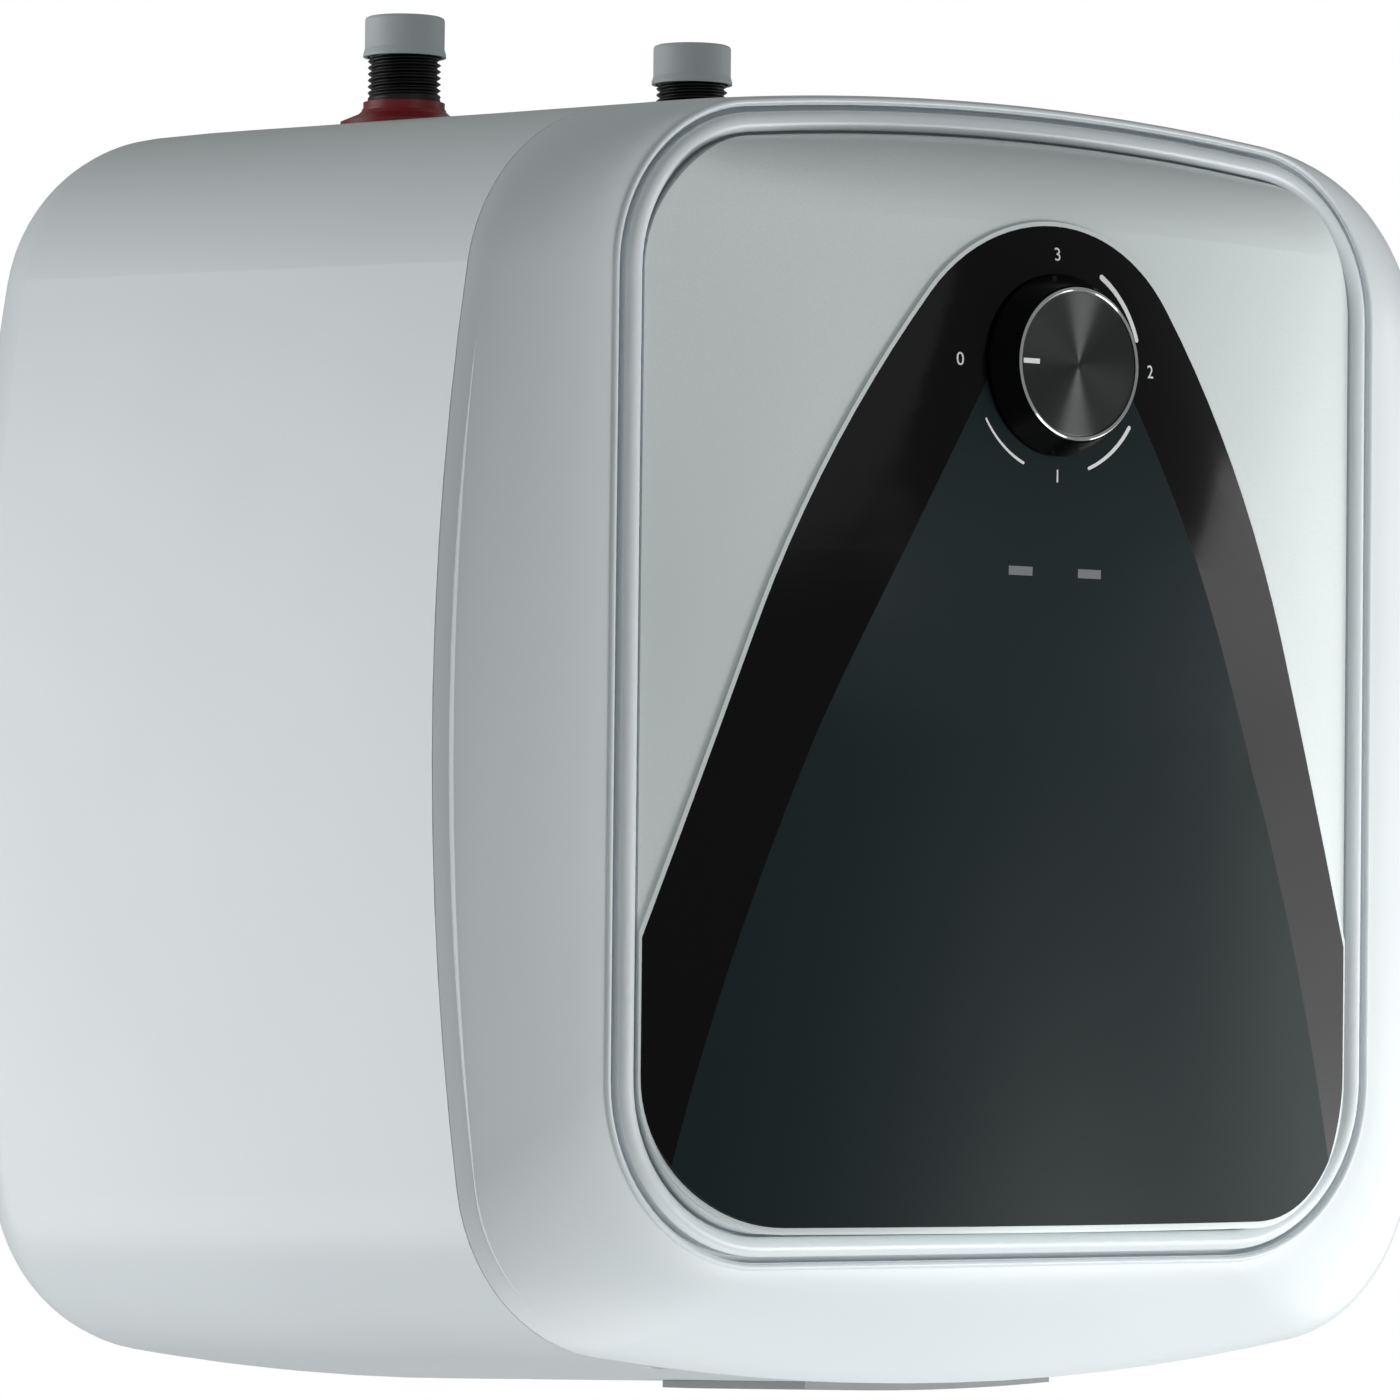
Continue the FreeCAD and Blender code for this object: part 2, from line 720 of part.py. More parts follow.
def spade_half_width(z):
    """Half the spade's width at a height above the middle of the case, above its foot."""
    turn_1 = math.radians(spade_apex_turn)
    turn_2 = turn_1 + math.radians(spade_side_turn)
    apex_z = spade_apex - spade_apex_radius
    centre_x = -(spade_side_radius - spade_apex_radius) * math.sin(turn_1)
    centre_z = apex_z - (spade_side_radius - spade_apex_radius) * math.cos(turn_1)
    if z > apex_z + spade_apex_radius * math.cos(turn_1):
        return math.sqrt(spade_apex_radius ** 2 - (z - apex_z) ** 2)
    hip_z = centre_z + spade_side_radius * math.cos(turn_2)
    if z > hip_z:
        return centre_x + math.sqrt(spade_side_radius ** 2 - (z - centre_z) ** 2)
    hip_x = centre_x + spade_side_radius * math.sin(turn_2)
    return min(hip_x + (hip_z - z) / math.tan(turn_2), plate_half - spade_edge_inset)


def band_rulings():
    """The lines across the band on the right, from the middle of its top to its foot.

    Each is its inner and outer end and how far it is curved. Over the dial the inner ends are on
    a circle that the crease runs into, under the knob, and the outer ones on the spade's apex.
    """
    top_x, lean = crease_at(panel_crease_top)
    circle_z = panel_crease_top - lean * top_x
    circle_radius = top_x * math.hypot(1, lean)
    apex_z = spade_apex - spade_apex_radius
    inner_end = math.atan(lean)
    outer_end = math.asin((panel_crease_top - apex_z) / spade_apex_radius)
    rulings = []
    for i in range(band_rows_over):
        share = i / band_rows_over
        inner = math.pi / 2 + (inner_end - math.pi / 2) * share
        outer = math.pi / 2 + (outer_end - math.pi / 2) * share
        rulings.append((circle_radius * math.cos(inner), circle_z + circle_radius * math.sin(inner),
                        spade_apex_radius * math.cos(outer), apex_z + spade_apex_radius * math.sin(outer),
                        panel_fade))
    foot = -plate_bottom + bezel_lower_corner / 3
    for i in range(band_rows_beside + 1):
        z = panel_crease_top + (foot - panel_crease_top) * i / band_rows_beside
        left = min(1.0, max(0.0, (z - panel_fade_end) / (panel_crease_top - panel_fade_end)))
        fade = panel_fade * left * left * (3 - 2 * left)
        rulings.append((crease_at(z)[0], z, spade_half_width(z), z, fade))
    return rulings


def band_row(side, ruling):
    """Points along one ruling, from a little inside the crease to a little past the spade's edge."""
    inner_x, inner_z, outer_x, outer_z, fade = ruling
    inner_y = tongue_y(inner_x, inner_z + middle_z)
    outer_y = plate_depth(outer_x) - panel_edge_rise
    row = []
    for i in range(band_columns):
        share = band_inner_share + (band_outer_share - band_inner_share) * i / (band_columns - 1)
        fall = share * (1 - fade) + share ** 2 * fade
        row.append(vec(side * (inner_x + (outer_x - inner_x) * share),
                       inner_y + (outer_y - inner_y) * fall,
                       middle_z + inner_z + (outer_z - inner_z) * share))
    return row


def band_cutter():
    """What lies in front of the band, which goes up one side, over the dial and down the other."""
    rulings = band_rulings()
    rows = [band_row(-1, ruling) for ruling in rulings[:0:-1]] + [band_row(1, ruling) for ruling in rulings]
    return skin_through(rows).extrude(vec(0, -dome_depth / 2, 0))


def in_patches(shape, count):
    """The same solid with its faces divided at even heights, so that no crease is one long edge."""
    bounds = shape.BoundBox
    step = bounds.ZLength / count
    pieces = []
    for i in range(count):
        z0 = bounds.ZMin + step * i - (1 if i == 0 else 0)
        z1 = bounds.ZMin + step * (i + 1) + (1 if i == count - 1 else 0)
        pieces.append(shape.common(box(bounds.XMin - 1, bounds.XMax + 1, bounds.YMin - 1, bounds.YMax + 1,
                                       z0, z1)))
    return pieces[0].multiFuse(pieces[1:])


def make_control_panel():
    front = pad_y - panel_front_room
    panel = spade_prism(0.0, front, floor_y - 1).common(panel_front_block())
    panel = panel.cut(band_cutter())
    panel = panel.cut(plate_dome(panel_gap - plate_pocket))
    panel = panel.cut(rod_y(0, dial_z, panel_hole_radius, front, floor_y))
    for side in (-1, 1):
        panel = panel.cut(lens_bar(side, window_play, front, floor_y))
    return in_patches(panel, panel_patches)


def make_lens(side):
    lens = lens_bar(side, 0.0, pad_y - panel_front_room, board_front_y() - lens_to_board)
    return lens.common(panel_front_block())


def make_indicator_board():
    y = board_front_y()
    z = middle_z + lamp_height
    board = box(-board_length / 2, board_length / 2, y, y + board_thickness,
                z - board_width / 2, z + board_width / 2)
    for x, hole_z in board_screw_places():
        board = board.cut(rod_y(x, hole_z, screw_radius, y, y + board_thickness))
    return board


def make_leds():
    y = board_front_y()
    z = middle_z + lamp_height
    return [rod_y(side * lamp_spacing / 2, z, lamp_led_radius, y - 2.2, y) for side in (-1, 1)]


def screw_y(x, z, seat_y, length, radius, direction):
    """A pan head screw along Y: its head bears on seat_y and its shank points along direction."""
    if direction < 0:
        shank = rod_y(x, z, radius, seat_y - length, seat_y)
        head = rod_y(x, z, screw_head_radius, seat_y, seat_y + screw_head_height)
    else:
        shank = rod_y(x, z, radius, seat_y, seat_y + length)
        head = rod_y(x, z, screw_head_radius, seat_y - screw_head_height, seat_y)
    return shank.fuse(head)


def make_board_screws():
    seat = board_front_y() + board_thickness
    return [screw_y(x, z, seat, board_thickness + 2.6, screw_radius - 0.35, -1)
            for x, z in board_screw_places()]


def make_plate_screws():
    return [screw_y(x, z, deck_back_y, deck_thickness + 3.2, screw_radius - 0.05, -1)
            for x, z in plate_boss_places()]


def underside_z(x, y):
    """The height of the case's underside at a place, by its flare and its bow."""
    share = (y - joint_y) / (case_depth - case_back_round)
    half = case_half_front + (case_half_rear - case_half_front) * share
    return middle_z - half + case_side_radius - math.sqrt(case_side_radius ** 2 - x ** 2)


def sunk_screw(x, y, seat, length):
    """A countersunk screw that points up, its head's face at the seat."""
    head = Part.makeCone(screw_head_radius, screw_radius - 0.05, sunk_head_height, vec(x, y, seat))
    return head.fuse(rod_z(x, y, screw_radius - 0.05, seat, seat + length))


def sunk_hole(x, y, seat, length):
    """The hole for a countersunk screw, open below its seat."""
    head = Part.makeCone(screw_head_radius + 0.15, screw_radius + 0.1, sunk_head_height + 0.05,
                         vec(x, y, seat - 0.05))
    mouth = rod_z(x, y, screw_head_radius + 0.15, seat - 2.0, seat - 0.05)
    return head.multiFuse([mouth, rod_z(x, y, screw_radius + 0.1, seat, seat + length)])


def cover_screw_seat(x):
    return underside_z(x, joint_y + tongue_depth / 2) + 0.3


def make_cover_screws():
    y = joint_y + tongue_depth / 2
    return [sunk_screw(x, y, cover_screw_seat(x), 10.0) for x in cover_screw_places()]


def knob_ring(inner, outer, y0, y1):
    return rod_y(0, dial_z, outer, y0, y1).cut(rod_y(0, dial_z, inner, y0, y1))


def make_knob_body():
    inner_face = knob_face_radius - knob_rim_width
    seat_y = knob_face_y + knob_recess
    outer = [(knob_base_radius, knob_base_y), (knob_base_radius - 0.2, knob_base_y - 0.9),
             (knob_face_radius + 0.5, knob_face_y + 0.6), (knob_face_radius - 0.1, knob_face_y + 0.6),
             (inner_face, knob_face_y + 0.6), (inner_face, seat_y), (0, seat_y), (0, knob_base_y)]
    body = turned([vec(r, y, dial_z) for r, y in outer], vec(0, 0, dial_z), vec(0, 1, 0))
    cavity_radius = knob_face_radius - knob_wall
    body = body.cut(knob_ring(knob_hub_radius, cavity_radius, seat_y + knob_wall, knob_base_y + 1))
    body = body.fuse(rod_y(0, dial_z, knob_hub_radius, seat_y + 0.5, hub_end_y()))
    return body.cut(spindle_bar(seat_y + 0.6, crest_y + 10, 0.0))


def hub_end_y():
    """The back of the knob's hub, just in front of the thermostat's bush."""
    return thermostat_front_y() - thermostat_bush_length - 0.4


def spindle_bar(y0, y1, grow):
    """The spindle's round bar with a flat along one side."""
    bar = rod_y(0, dial_z, spindle_radius + grow, y0, y1)
    flat_x = spindle_radius - spindle_flat + grow
    return bar.cut(box(flat_x, spindle_radius + 5, y0 - 1, y1 + 1, dial_z - 5, dial_z + 5))


def make_knob_rim():
    front = knob_face_y - knob_rim_rise
    inner = knob_face_radius - knob_rim_width
    back = knob_face_y + 0.6
    points = [(inner, back), (inner, front + 0.3), (inner + 0.35, front), (knob_face_radius - 0.35, front),
              (knob_face_radius, front + 0.35), (knob_face_radius, back)]
    return turned([vec(r, y, dial_z) for r, y in points], vec(0, 0, dial_z), vec(0, 1, 0))


def make_knob_face():
    radius = knob_face_radius - knob_rim_width
    back = knob_face_y + knob_recess
    points = [(0, back), (0, back - 0.6), (radius * 0.5, back - 0.62), (radius - 0.4, back - 0.75),
              (radius, back - 0.5), (radius, back)]
    disc = turned([vec(r, y, dial_z) for r, y in points], vec(0, 0, dial_z), vec(0, 1, 0))
    return disc.cut(pointer_bar(back - 2, back - 0.3))


def pointer_bar(y0, y1):
    """The mark on the knob's face, at its left at rest."""
    outer = knob_face_radius - knob_rim_width - 0.5
    return box(-outer, -outer + pointer_length, y0, y1, dial_z - pointer_width / 2,
               dial_z + pointer_width / 2)


def make_knob_pointer():
    back = knob_face_y + knob_recess
    return pointer_bar(back - 0.9, back - 0.3)


def thermostat_front_y():
    return crest_y + dial_boss_depth + plate_wall


def make_thermostat_plate():
    y = thermostat_front_y()
    half_w = thermostat_width / 2
    half_h = 12.0
    plate = box(-half_w, half_w, y, y + thermostat_plate_thickness, dial_z - half_h, dial_z + half_h)
    bush = rod_y(0, dial_z, thermostat_bush_radius, y - thermostat_bush_length, y)
    plate = plate.fuse(bush)
    plate = plate.cut(rod_y(0, dial_z, spindle_radius + running_gap, y - 4, y + 5))
    for x in thermostat_screw_places():
        plate = plate.cut(rod_y(x, dial_z, 2.0, y - 1, y + 5))
    return plate


def make_thermostat_body():
    y = thermostat_front_y() + thermostat_plate_thickness
    half_w = thermostat_width / 2
    half_h = thermostat_height / 2
    body = box(-half_w, half_w, y, y + thermostat_depth, dial_z - half_h, dial_z + half_h)
    body = body.makeFillet(3.0, [edge for edge in body.Edges if abs(edge.tangentAt(0).y) > 0.9])
    for x in thermostat_screw_places():
        body = body.cut(rod_y(x, dial_z, 2.4, y, y + 5.0))
    return body.cut(rod_y(0, dial_z, spindle_radius + running_gap, y, y + 9.0))


def make_spindle():
    tip = knob_face_y + knob_recess + 0.6
    tail = thermostat_front_y() + thermostat_plate_thickness + 8.7
    shoulder = thermostat_front_y() - thermostat_bush_length - 0.1
    round_part = rod_y(0, dial_z, spindle_radius, shoulder, tail)
    return spindle_bar(tip, shoulder, 0.0).fuse(round_part).removeSplitter()


def make_thermostat_screws():
    seat = crest_y + dial_boss_depth
    length = plate_wall + thermostat_plate_thickness + 3.5
    return [screw_y(x, dial_z, seat, length, 2.0, 1) for x in thermostat_screw_places()]


def terminal_tab_places():
    return [(-12.0, -8.0), (12.0, -8.0), (-12.0, 10.0), (12.0, 10.0)]


def thermostat_back_y():
    return thermostat_front_y() + thermostat_plate_thickness + thermostat_depth


def make_thermostat_tabs():
    y = thermostat_back_y()
    return [box(x - 3.15, x + 3.15, y, y + thermostat_tab_length, dial_z + dz - 0.4, dial_z + dz + 0.4)
            for x, dz in terminal_tab_places()]


def tank_profile(grow):
    """The tank's outside, grown by a distance: a cylinder between two dished heads.

    Each head is a sphere's cap that meets the cylinder through a rounded knuckle.
    """
    hub = tank_radius - tank_knuckle
    dish = (tank_head_depth ** 2 - tank_knuckle ** 2 + hub ** 2) / (2 * (tank_head_depth - tank_knuckle))
    turn = math.asin(hub / (dish - tank_knuckle))

    def head(tip, way):
        def at(centre_r, centre_y, radius, angle):
            return vec(centre_r + radius * math.sin(angle), centre_y - way * radius * math.cos(angle), middle_z)
        dish_y = tip + way * dish
        knuckle_y = tip + way * tank_head_depth
        cap = [at(0, dish_y, dish + grow, angle) for angle in (0, turn / 2, turn)]
        bend = [at(hub, knuckle_y, tank_knuckle + grow, angle)
                for angle in (turn, (turn + math.pi / 2) / 2, math.pi / 2)]
        return cap, bend
    front_cap, front_bend = head(tank_front_y, 1)
    rear_cap, rear_bend = head(tank_rear_y, -1)
    edges = [
        Part.Arc(*front_cap).toShape(),
        Part.Arc(*front_bend).toShape(),
        Part.LineSegment(front_bend[2], rear_bend[2]).toShape(),
        Part.Arc(*reversed(rear_bend)).toShape(),
        Part.Arc(*reversed(rear_cap)).toShape(),
        Part.LineSegment(rear_cap[0], front_cap[0]).toShape(),
    ]
    return Part.Face(Part.Wire(edges)).revolve(vec(0, 0, middle_z), vec(0, 1, 0), 360)


def flange_stud_places():
    step = 2 * math.pi / flange_stud_count
    radius = flange_stud_circle / 2
    return [(radius * math.cos(i * step), middle_z + radius * math.sin(i * step))
            for i in range(flange_stud_count)]


def make_inner_tank():
    shell = tank_profile(0.0)
    collar = rod_y(0, middle_z, flange_radius, flange_face_y, tank_front_y + tank_head_depth * 0.5)
    tank = shell.fuse(collar).cut(tank_profile(-tank_steel))
    tank = tank.cut(rod_y(0, middle_z, flange_bore, flange_face_y - 1, tank_front_y + 30))
    for side in (-1, 1):
        x = side * pipe_spacing / 2
        tank = tank.cut(rod_z(x, pipe_y, pipe_radius, middle_z, over_case_z))
    for x, z in flange_stud_places():
        tank = tank.fuse(rod_y(x, z, stud_radius, flange_front_y - nut_height - 2, flange_face_y + 1))
    return tank


def make_flange_gasket():
    gasket = rod_y(0, middle_z, flange_radius, gasket_front_y, flange_face_y)
    gasket = gasket.cut(rod_y(0, middle_z, flange_bore, gasket_front_y, flange_face_y))
    for x, z in flange_stud_places():
        gasket = gasket.cut(rod_y(x, z, stud_radius + 0.2, gasket_front_y, flange_face_y))
    return gasket


def element_places():
    half = element_leg_spacing / 2
    return [(-half, middle_z - element_drop), (half, middle_z - element_drop)]


def make_flange_plate():
    plate = rod_y(0, middle_z, flange_radius, flange_front_y, gasket_front_y)
    for x, z in flange_stud_places():
        plate = plate.cut(rod_y(x, z, stud_radius + 0.2, flange_front_y, gasket_front_y))
    holes = [(x, z, element_radius) for x, z in element_places()]
    holes.append((anode_side, middle_z + anode_up, stud_radius))
    holes.append((pocket_side, middle_z + pocket_up, pocket_radius))
    for x, z, radius in holes:
        plate = plate.cut(rod_y(x, z, radius, flange_front_y, gasket_front_y))
    return plate


def make_flange_nuts():
    y = flange_front_y - nut_height
    return [hex_nut(x, y, z, nut_height, nut_across_flats, stud_radius) for x, z in flange_stud_places()]


def make_heating_element():
    half = element_leg_spacing / 2
    z = middle_z - element_drop
    front = flange_front_y - element_pin_reach + 9.0
    back = gasket_front_y + element_length - half
    path = Part.Wire([
        Part.LineSegment(vec(-half, front, z), vec(-half, back, z)).toShape(),
        Part.Arc(vec(-half, back, z), vec(0, back + half, z), vec(half, back, z)).toShape(),
        Part.LineSegment(vec(half, back, z), vec(half, front, z)).toShape(),
    ])
    start = Part.Wire(Part.Circle(vec(-half, front, z), vec(0, 1, 0), element_radius).toShape())
    tube = swept(path, start)
    pins = [rod_y(x, pz, 1.6, front - 9.0, front) for x, pz in element_places()]
    return tube.multiFuse(pins)


def make_anode():
    x = anode_side
    z = middle_z + anode_up
    rod = rod_y(x, z, anode_radius, gasket_front_y, gasket_front_y + anode_length)
    return rod.fuse(rod_y(x, z, stud_radius, flange_front_y - nut_height - 2, gasket_front_y))


def make_anode_nut():
    y = flange_front_y - nut_height
    return hex_nut(anode_side, y, middle_z + anode_up, nut_height, nut_across_flats, stud_radius)


def make_thermowell():
    x = pocket_side
    z = middle_z + pocket_up
    back = flange_front_y + pocket_length
    tube = rod_y(x, z, pocket_radius, flange_front_y - 3.0, back)
    return tube.cut(rod_y(x, z, pocket_radius - pocket_wall, flange_front_y - 3.0, back - pocket_wall))


def make_bulb():
    x = pocket_side
    z = middle_z + pocket_up - (pocket_radius - pocket_wall - bulb_radius)
    back = flange_front_y + pocket_length - pocket_wall - 0.5
    return rod_y(x, z, bulb_radius, back - bulb_length, back)


def rounded_path(points, radius):
    """Straight runs through the points, with an arc of the radius at each turn."""
    edges = []
    last = points[0]
    for before, corner, after in zip(points, points[1:], points[2:]):
        into = (corner - before).normalize()
        out = (after - corner).normalize()
        turn = into.getAngle(out)
        reach = radius * math.tan(turn / 2)
        start = corner - into * reach
        end = corner + out * reach
        towards = (out - into).normalize()
        middle = corner + towards * (radius / math.cos(turn / 2) - radius)
        edges.append(Part.LineSegment(last, start).toShape())
        edges.append(Part.Arc(start, middle, end).toShape())
        last = end
    edges.append(Part.LineSegment(last, points[-1]).toShape())
    return Part.Wire(edges)


def tube_along(points, tube_radius, bend_radius):
    path = rounded_path(points, bend_radius)
    direction = points[1] - points[0]
    start = Part.Wire(Part.Circle(points[0], direction, tube_radius).toShape())
    return swept(path, start)


def make_capillary():
    x = pocket_side
    z = middle_z + pocket_up - (pocket_radius - pocket_wall - bulb_radius)
    bulb_front = flange_front_y + pocket_length - pocket_wall - 0.5 - bulb_length
    run_y = flange_front_y - 12.0
    body_y = thermostat_back_y() - thermostat_depth / 2
    bottom_z = dial_z - thermostat_height / 2
    points = [vec(x, bulb_front, z), vec(x, run_y, z), vec(x + 6, run_y, bottom_z - 24),
              vec(x + 10, body_y, bottom_z - 12), vec(x + 10, body_y, bottom_z)]
    return tube_along(points, capillary_radius, capillary_bend)


def cutout_place():
    return -24.0, middle_z - 4.0


def make_cutout():
    x, z = cutout_place()
    body = rod_y(x, z, cutout_radius, flange_front_y - cutout_height, flange_front_y)
    tabs = [box(x + s * 4 - 0.4, x + s * 4 + 0.4, flange_front_y - cutout_height - cutout_tab_length,
                flange_front_y - cutout_height, z - 2.4, z + 2.4) for s in (-1, 1)]
    return body.multiFuse(tabs)


def make_cutout_clip():
    x, z = cutout_place()
    ring = rod_y(x, z, cutout_radius + 1.2, flange_front_y - 2.4, flange_front_y)
    ring = ring.cut(rod_y(x, z, cutout_radius, flange_front_y - 2.4, flange_front_y))
    return ring


def earth_place():
    return 8.0, middle_z + 28.0


def make_earth_stud():
    x, z = earth_place()
    head = rod_y(x, z, 4.5, flange_front_y - 1.5, flange_front_y)
    return head.fuse(rod_y(x, z, 2.5, flange_front_y - earth_stud_length, flange_front_y - 1.5))


def make_earth_nut():
    x, z = earth_place()
    return hex_nut(x, flange_front_y - 5.5, z, 4.0, 8.0, 2.5)


def insulation_cavities():
    """The space that the tank, its flange, the pipes and the hanger bracket take."""
    tank = tank_profile(insulation_gap)
    collar = rod_y(0, middle_z, flange_radius + 6.0, joint_y, tank_front_y + tank_head_depth)
    pipes = [rod_z(side * pipe_spacing / 2, pipe_y, pipe_radius + insulation_gap, middle_z + 60, over_case_z)
             for side in (-1, 1)]
    sleeves = [rod_z(side * pipe_spacing / 2, pipe_y, pipe_radius + sleeve_wall + insulation_gap,
                     sleeve_bottom - insulation_gap, over_case_z) for side in (-1, 1)]
    return tank.multiFuse([collar] + pipes + sleeves)


def make_insulation_front():
    split_y = (tank_front_y + tank_rear_y) / 2
    foam = case_block(case_wall + insulation_gap, joint_y + tongue_depth + 0.5, split_y)
    foam = foam.cut(insulation_cavities())
    return foam.cut(service_box(-4.0, under_case_z, terminal_base_z() + wiring_room))


def make_insulation_rear():
    split_y = (tank_front_y + tank_rear_y) / 2
    foam = foam_block(split_y).cut(insulation_cavities())
    bracket = make_tank_bracket()
    extents = bracket.BoundBox
    pocket = box(extents.XMin - 0.5, extents.XMax + 0.5, back_y - case_wall - bracket_thickness - 1.0, back_y,
                 extents.ZMin - 0.5, extents.ZMax + 0.5)
    foam = foam.cut(pocket)
    for x, z in bracket_leg_places():
        foam = foam.cut(rod_y(x, z, bracket_leg_radius + bracket_leg_gap, tank_rear_y - bracket_leg_root - 20, back_y))
    cord_z = middle_z - cord_below_middle
    return foam.cut(rod_y(cord_side, cord_z, cord_bush_flange + 2.0, back_y - case_wall - 14.0, back_y))


def bracket_half_height():
    return rail_web / 2 + rail_foot / 2 + bracket_margin


def bracket_leg_places():
    return [(side * bracket_leg_side, bracket_leg_inset - bracket_half_height()) for side in (-1, 1)]


def make_tank_bracket():
    back = back_y - case_wall
    front = back - bracket_thickness
    half_x = rail_stud_spacing / 2 + bracket_margin
    half_z = bracket_half_height()
    plate = box(-half_x, half_x, front, back, -half_z, half_z)
    for x, z in bracket_leg_places():
        leg = rod_y(x, z, bracket_leg_radius, tank_rear_y - bracket_leg_root, front)
        plate = plate.fuse(leg.cut(tank_profile(0.0)))
    for x, z in rail_stud_places():
        plate = plate.fuse(rod_y(x, z, stud_radius, back, back_y + rail_steel + nut_height + 2))
    return plate


def make_hanger_rail():
    half = rail_length / 2
    web = rail_web / 2
    foot_back = back_y + rail_steel
    inner = web - rail_steel
    outer = web + rail_foot
    upper = [vec(-half, 0, web), vec(-half, foot_back, web), vec(-half, foot_back, outer),
             vec(-half, back_y, outer), vec(-half, back_y, inner), vec(-half, -rail_steel, inner)]
    lower = [vec(-half, point.y, -point.z) for point in reversed(upper)]
    profile = upper + lower
    rail = Part.Face(Part.makePolygon(profile + [profile[0]])).extrude(vec(rail_length, 0, 0))
    for side in (-1, 1):
        x = side * slot_spacing / 2
        rail = rail.cut(lozenge(x, 0, slot_length, slot_width, -rail_steel - 1, 1))
    for x, z in rail_stud_places():
        rail = rail.cut(rod_y(x, z, stud_radius + 0.3, back_y - 1, foot_back + 1))
    return rail


def make_rail_nuts():
    y = back_y + rail_steel
    return [hex_nut(x, y, z, nut_height, nut_across_flats, stud_radius) for x, z in rail_stud_places()]


def make_wall_spacers():
    pads = []
    for x, z in spacer_places():
        pad = Part.makeCone(spacer_radius, spacer_radius - 2, rail_standoff, vec(x, back_y, z), vec(0, 1, 0))
        pads.append(pad.fuse(rod_y(x, z, spacer_peg_radius, back_y - case_wall, back_y)))
    return pads


def make_pipe(side):
    x = side * pipe_spacing / 2
    bottom = middle_z + math.sqrt(tank_radius ** 2 - (pipe_spacing / 2) ** 2) - 8.0
    pipe = rod_z(x, pipe_y, pipe_radius, bottom, middle_z + pipe_top)
    return pipe.cut(rod_z(x, pipe_y, pipe_bore, bottom, middle_z + pipe_top))


def make_inner_tube(side, bottom):
    x = side * pipe_spacing / 2
    top = middle_z + math.sqrt(tank_radius ** 2 - (pipe_spacing / 2) ** 2) + 20.0
    tube = rod_z(x, pipe_y, dip_tube_radius, bottom, top)
    lip = rod_z(x, pipe_y, pipe_bore, top - 2.0, top)
    return tube.fuse(lip).cut(rod_z(x, pipe_y, dip_tube_radius - dip_tube_wall, bottom, top))


def make_collar(side):
    x = side * pipe_spacing / 2
    seat = middle_z + case_half_rear - 6.0
    neck_top = middle_z + collar_neck_top
    flange_top = middle_z + case_half_rear - pipe_spacing ** 2 / 8 / case_side_radius + collar_flange - 1.0
    points = [(pipe_radius + 0.25, seat), (collar_radius, seat), (collar_radius, flange_top - 1.2),
              (collar_neck_radius + 1.5, flange_top + 1.0), (collar_neck_radius, flange_top + 2.4),
              (collar_neck_radius, neck_top), (pipe_radius + 0.25, neck_top)]
    collar = turned([vec(x + r, pipe_y, z) for r, z in points], vec(x, pipe_y, 0), vec(0, 0, 1))
    collar = collar.cut(case_block(0.0, joint_y))
    sleeve = rod_z(x, pipe_y, pipe_radius + sleeve_wall, sleeve_bottom, neck_top - 2)
    return collar.fuse(sleeve).cut(rod_z(x, pipe_y, pipe_radius + 0.25, sleeve_bottom - 1, neck_top + 1))


def make_cap(side):
    x = side * pipe_spacing / 2
    top = middle_z + pipe_top + cap_lift_gap + cap_wall + 0.4
    bottom = top - cap_height
    inner = cap_radius - cap_wall
    skin = top - cap_wall - 0.4
    points = [(0, top), (cap_radius - cap_edge_round, top), (cap_radius - 0.25, top - 0.3),
              (cap_radius, top - cap_edge_round), (cap_radius, bottom + cap_flare_height + 0.8),
              (cap_flare_radius, bottom + cap_flare_height * 0.5), (cap_flare_radius, bottom),
              (inner, bottom), (inner, skin), (0, skin)]
    return turned([vec(x + r, pipe_y, z) for r, z in points], vec(x, pipe_y, 0), vec(0, 0, 1))


def make_cord_bush():
    z = middle_z - cord_below_middle
    inner = back_y - case_wall
    bush = rod_y(cord_side, z, cord_bush_radius, inner - 8.0, back_y + 4.0)
    bush = bush.fuse(rod_y(cord_side, z, cord_bush_flange, back_y, back_y + 4.0))
    return bush.cut(rod_y(cord_side, z, cord_bush_bore, inner - 9.0, back_y + 5.0))


def make_cord_nut():
    z = middle_z - cord_below_middle
    inner = back_y - case_wall
    nut = hex_nut(cord_side, inner - 5.0, z, 5.0, 2 * cord_bush_flange - 2, cord_bush_radius)
    return nut


def make_service_plate():
    skin = case_block(-service_thickness, joint_y + 1).common(service_box(0.0, under_case_z, in_case_foot_z))
    plate = skin.cut(case_block(0.0, joint_y))
    step = case_block(0.0, joint_y).cut(case_block(case_wall, joint_y - 2))
    step = step.common(service_box(service_opening_inset + 0.3, under_case_z, in_case_foot_z))
    plate = plate.fuse(step)
    for x, y in service_screw_places():
        plate = plate.cut(sunk_hole(x, y, service_screw_seat(x, y), 8.0))
    return plate


def service_screw_seat(x, y):
    return underside_z(x, y) - service_thickness + 0.2


def make_service_screws():
    return [sunk_screw(x, y, service_screw_seat(x, y), 9.0) for x, y in service_screw_places()]


def terminal_base_z():
    y = joint_y + (service_front + service_back) / 2
    return underside_z(0, y) + case_wall + seat_gap


